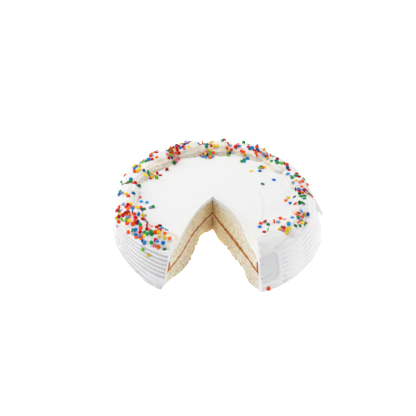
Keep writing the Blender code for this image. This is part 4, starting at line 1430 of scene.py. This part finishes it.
def strew():
    """Finds a place for every sprinkle: the drifts over the border, then the loose ones."""
    ground = surface_under([coat, *shells])
    down = Vector((0.0, 0.0, -1.0))
    laid = []
    for degrees, radius, turn_spread, reach_spread, count in DRIFTS:
        placed = 0
        for _ in range(count * DRIFT_TRIES):
            if placed == count:
                break
            angle = math.radians(degrees + turn_spread * random.gauss(0, DRIFT_TAIL))
            above = polar(radius + reach_spread * random.gauss(0, DRIFT_TAIL), angle, ABOVE_CAKE)
            point, normal, _face, _distance = ground.ray_cast(above, down)
            if point is None or point.z < CAKE_HEIGHT - BORDER_FOOT_DROP:
                continue
            if any((other - point).length < SPRINKLE_SPACING for other, _matrix in laid):
                continue
            matrix = lay_sprinkle(point, normal, laid)
            if sprinkle_top(matrix) > cad_box[1][2] + TOP_ROOM:
                continue
            laid.append((point, matrix))
            placed += 1
    for degrees, radius in LOOSE_ON_TOP:
        above = polar(radius, math.radians(degrees), ABOVE_CAKE)
        point, normal, _face, _distance = ground.ray_cast(above, down)
        laid.append((point, lay_sprinkle(point, normal, laid)))
    for degrees, height in LOOSE_ON_SIDE:
        start = polar(BESIDE_CAKE, math.radians(degrees), height)
        point, normal, _face, _distance = ground.ray_cast(start, Vector((-start.x, -start.y, 0.0)))
        laid.append((point, lay_sprinkle(point, normal, laid)))
    return [matrix for _point, matrix in laid]


def sprinkle_mesh(places):
    """All sprinkles as one mesh, each with its own colour."""
    shape, shape_faces = sprinkle_shape()
    points, faces, colours = [], [], []
    names = list(SPRINKLE_COLOURS)
    weights = [SPRINKLE_COLOURS[name][1] for name in names]
    strewn = len(places) - len(LOOSE_COLOURS)
    for index, matrix in enumerate(places):
        start = len(points) * len(shape)
        grown = np.array(matrix.to_3x3()) * random.uniform(*SPRINKLE_SIZES)
        points.append(shape @ grown.T + np.array(matrix.translation))
        faces += [[start + corner for corner in face] for face in shape_faces]
        name = random.choices(names, weights)[0] if index < strewn else LOOSE_COLOURS[index - strewn]
        colour = SPRINKLE_COLOURS[name][0]
        shade = random.uniform(*SPRINKLE_SHADES)
        colours.append([min(1.0, part * shade) for part in colour] + [1.0])
    mesh = bpy.data.meshes.new("confetti_sprinkles")
    mesh.from_pydata(np.concatenate(points).tolist(), [], faces)
    layer = mesh.color_attributes.new("sugar_colour", "FLOAT_COLOR", "POINT")
    layer.data.foreach_set("color", np.repeat(np.array(colours, np.float32), len(shape), axis=0).ravel())
    return mesh


SUGAR_ROUGHNESS = 0.45
SUGAR_SHINE = 0.12
SUGAR_BUMP = 0.0001
SUGAR_BUMP_STRENGTH = 0.35
CHALK = (1300.0, 3.0, 0.6)
CHALK_SPAN = (0.55, 0.85)
CHALK_SHARE = 0.02
CHALK_WHITE = (0.9, 0.9, 0.9, 1.0)

sugar, tree, shader, bump = food_material("sprinkle_sugar", SUGAR_ROUGHNESS, SUGAR_BUMP, SUGAR_BUMP_STRENGTH)
shader.inputs["Specular IOR Level"].default_value = SUGAR_SHINE
own_colour = tree.nodes.new("ShaderNodeVertexColor")
own_colour.layer_name = "sugar_colour"
chalk = noise_node(tree, place_node(tree), *CHALK)
dusty = math_node(tree, "MULTIPLY", ramp_node(tree, chalk, *CHALK_SPAN), CHALK_SHARE)
sugar_colour = mix_node(tree, dusty, own_colour.outputs["Color"], CHALK_WHITE)
tree.links.new(sugar_colour, shader.inputs["Base Color"])
tree.links.new(chalk, bump.inputs["Height"])
sprinkles = bpy.data.objects.new("confetti_sprinkles", sprinkle_mesh(strew()))
round_off(sprinkles, SHARP_EDGE)
sprinkles.data.materials.append(sugar)
bpy.context.scene.collection.objects.link(sprinkles)
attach(sprinkles, "root")
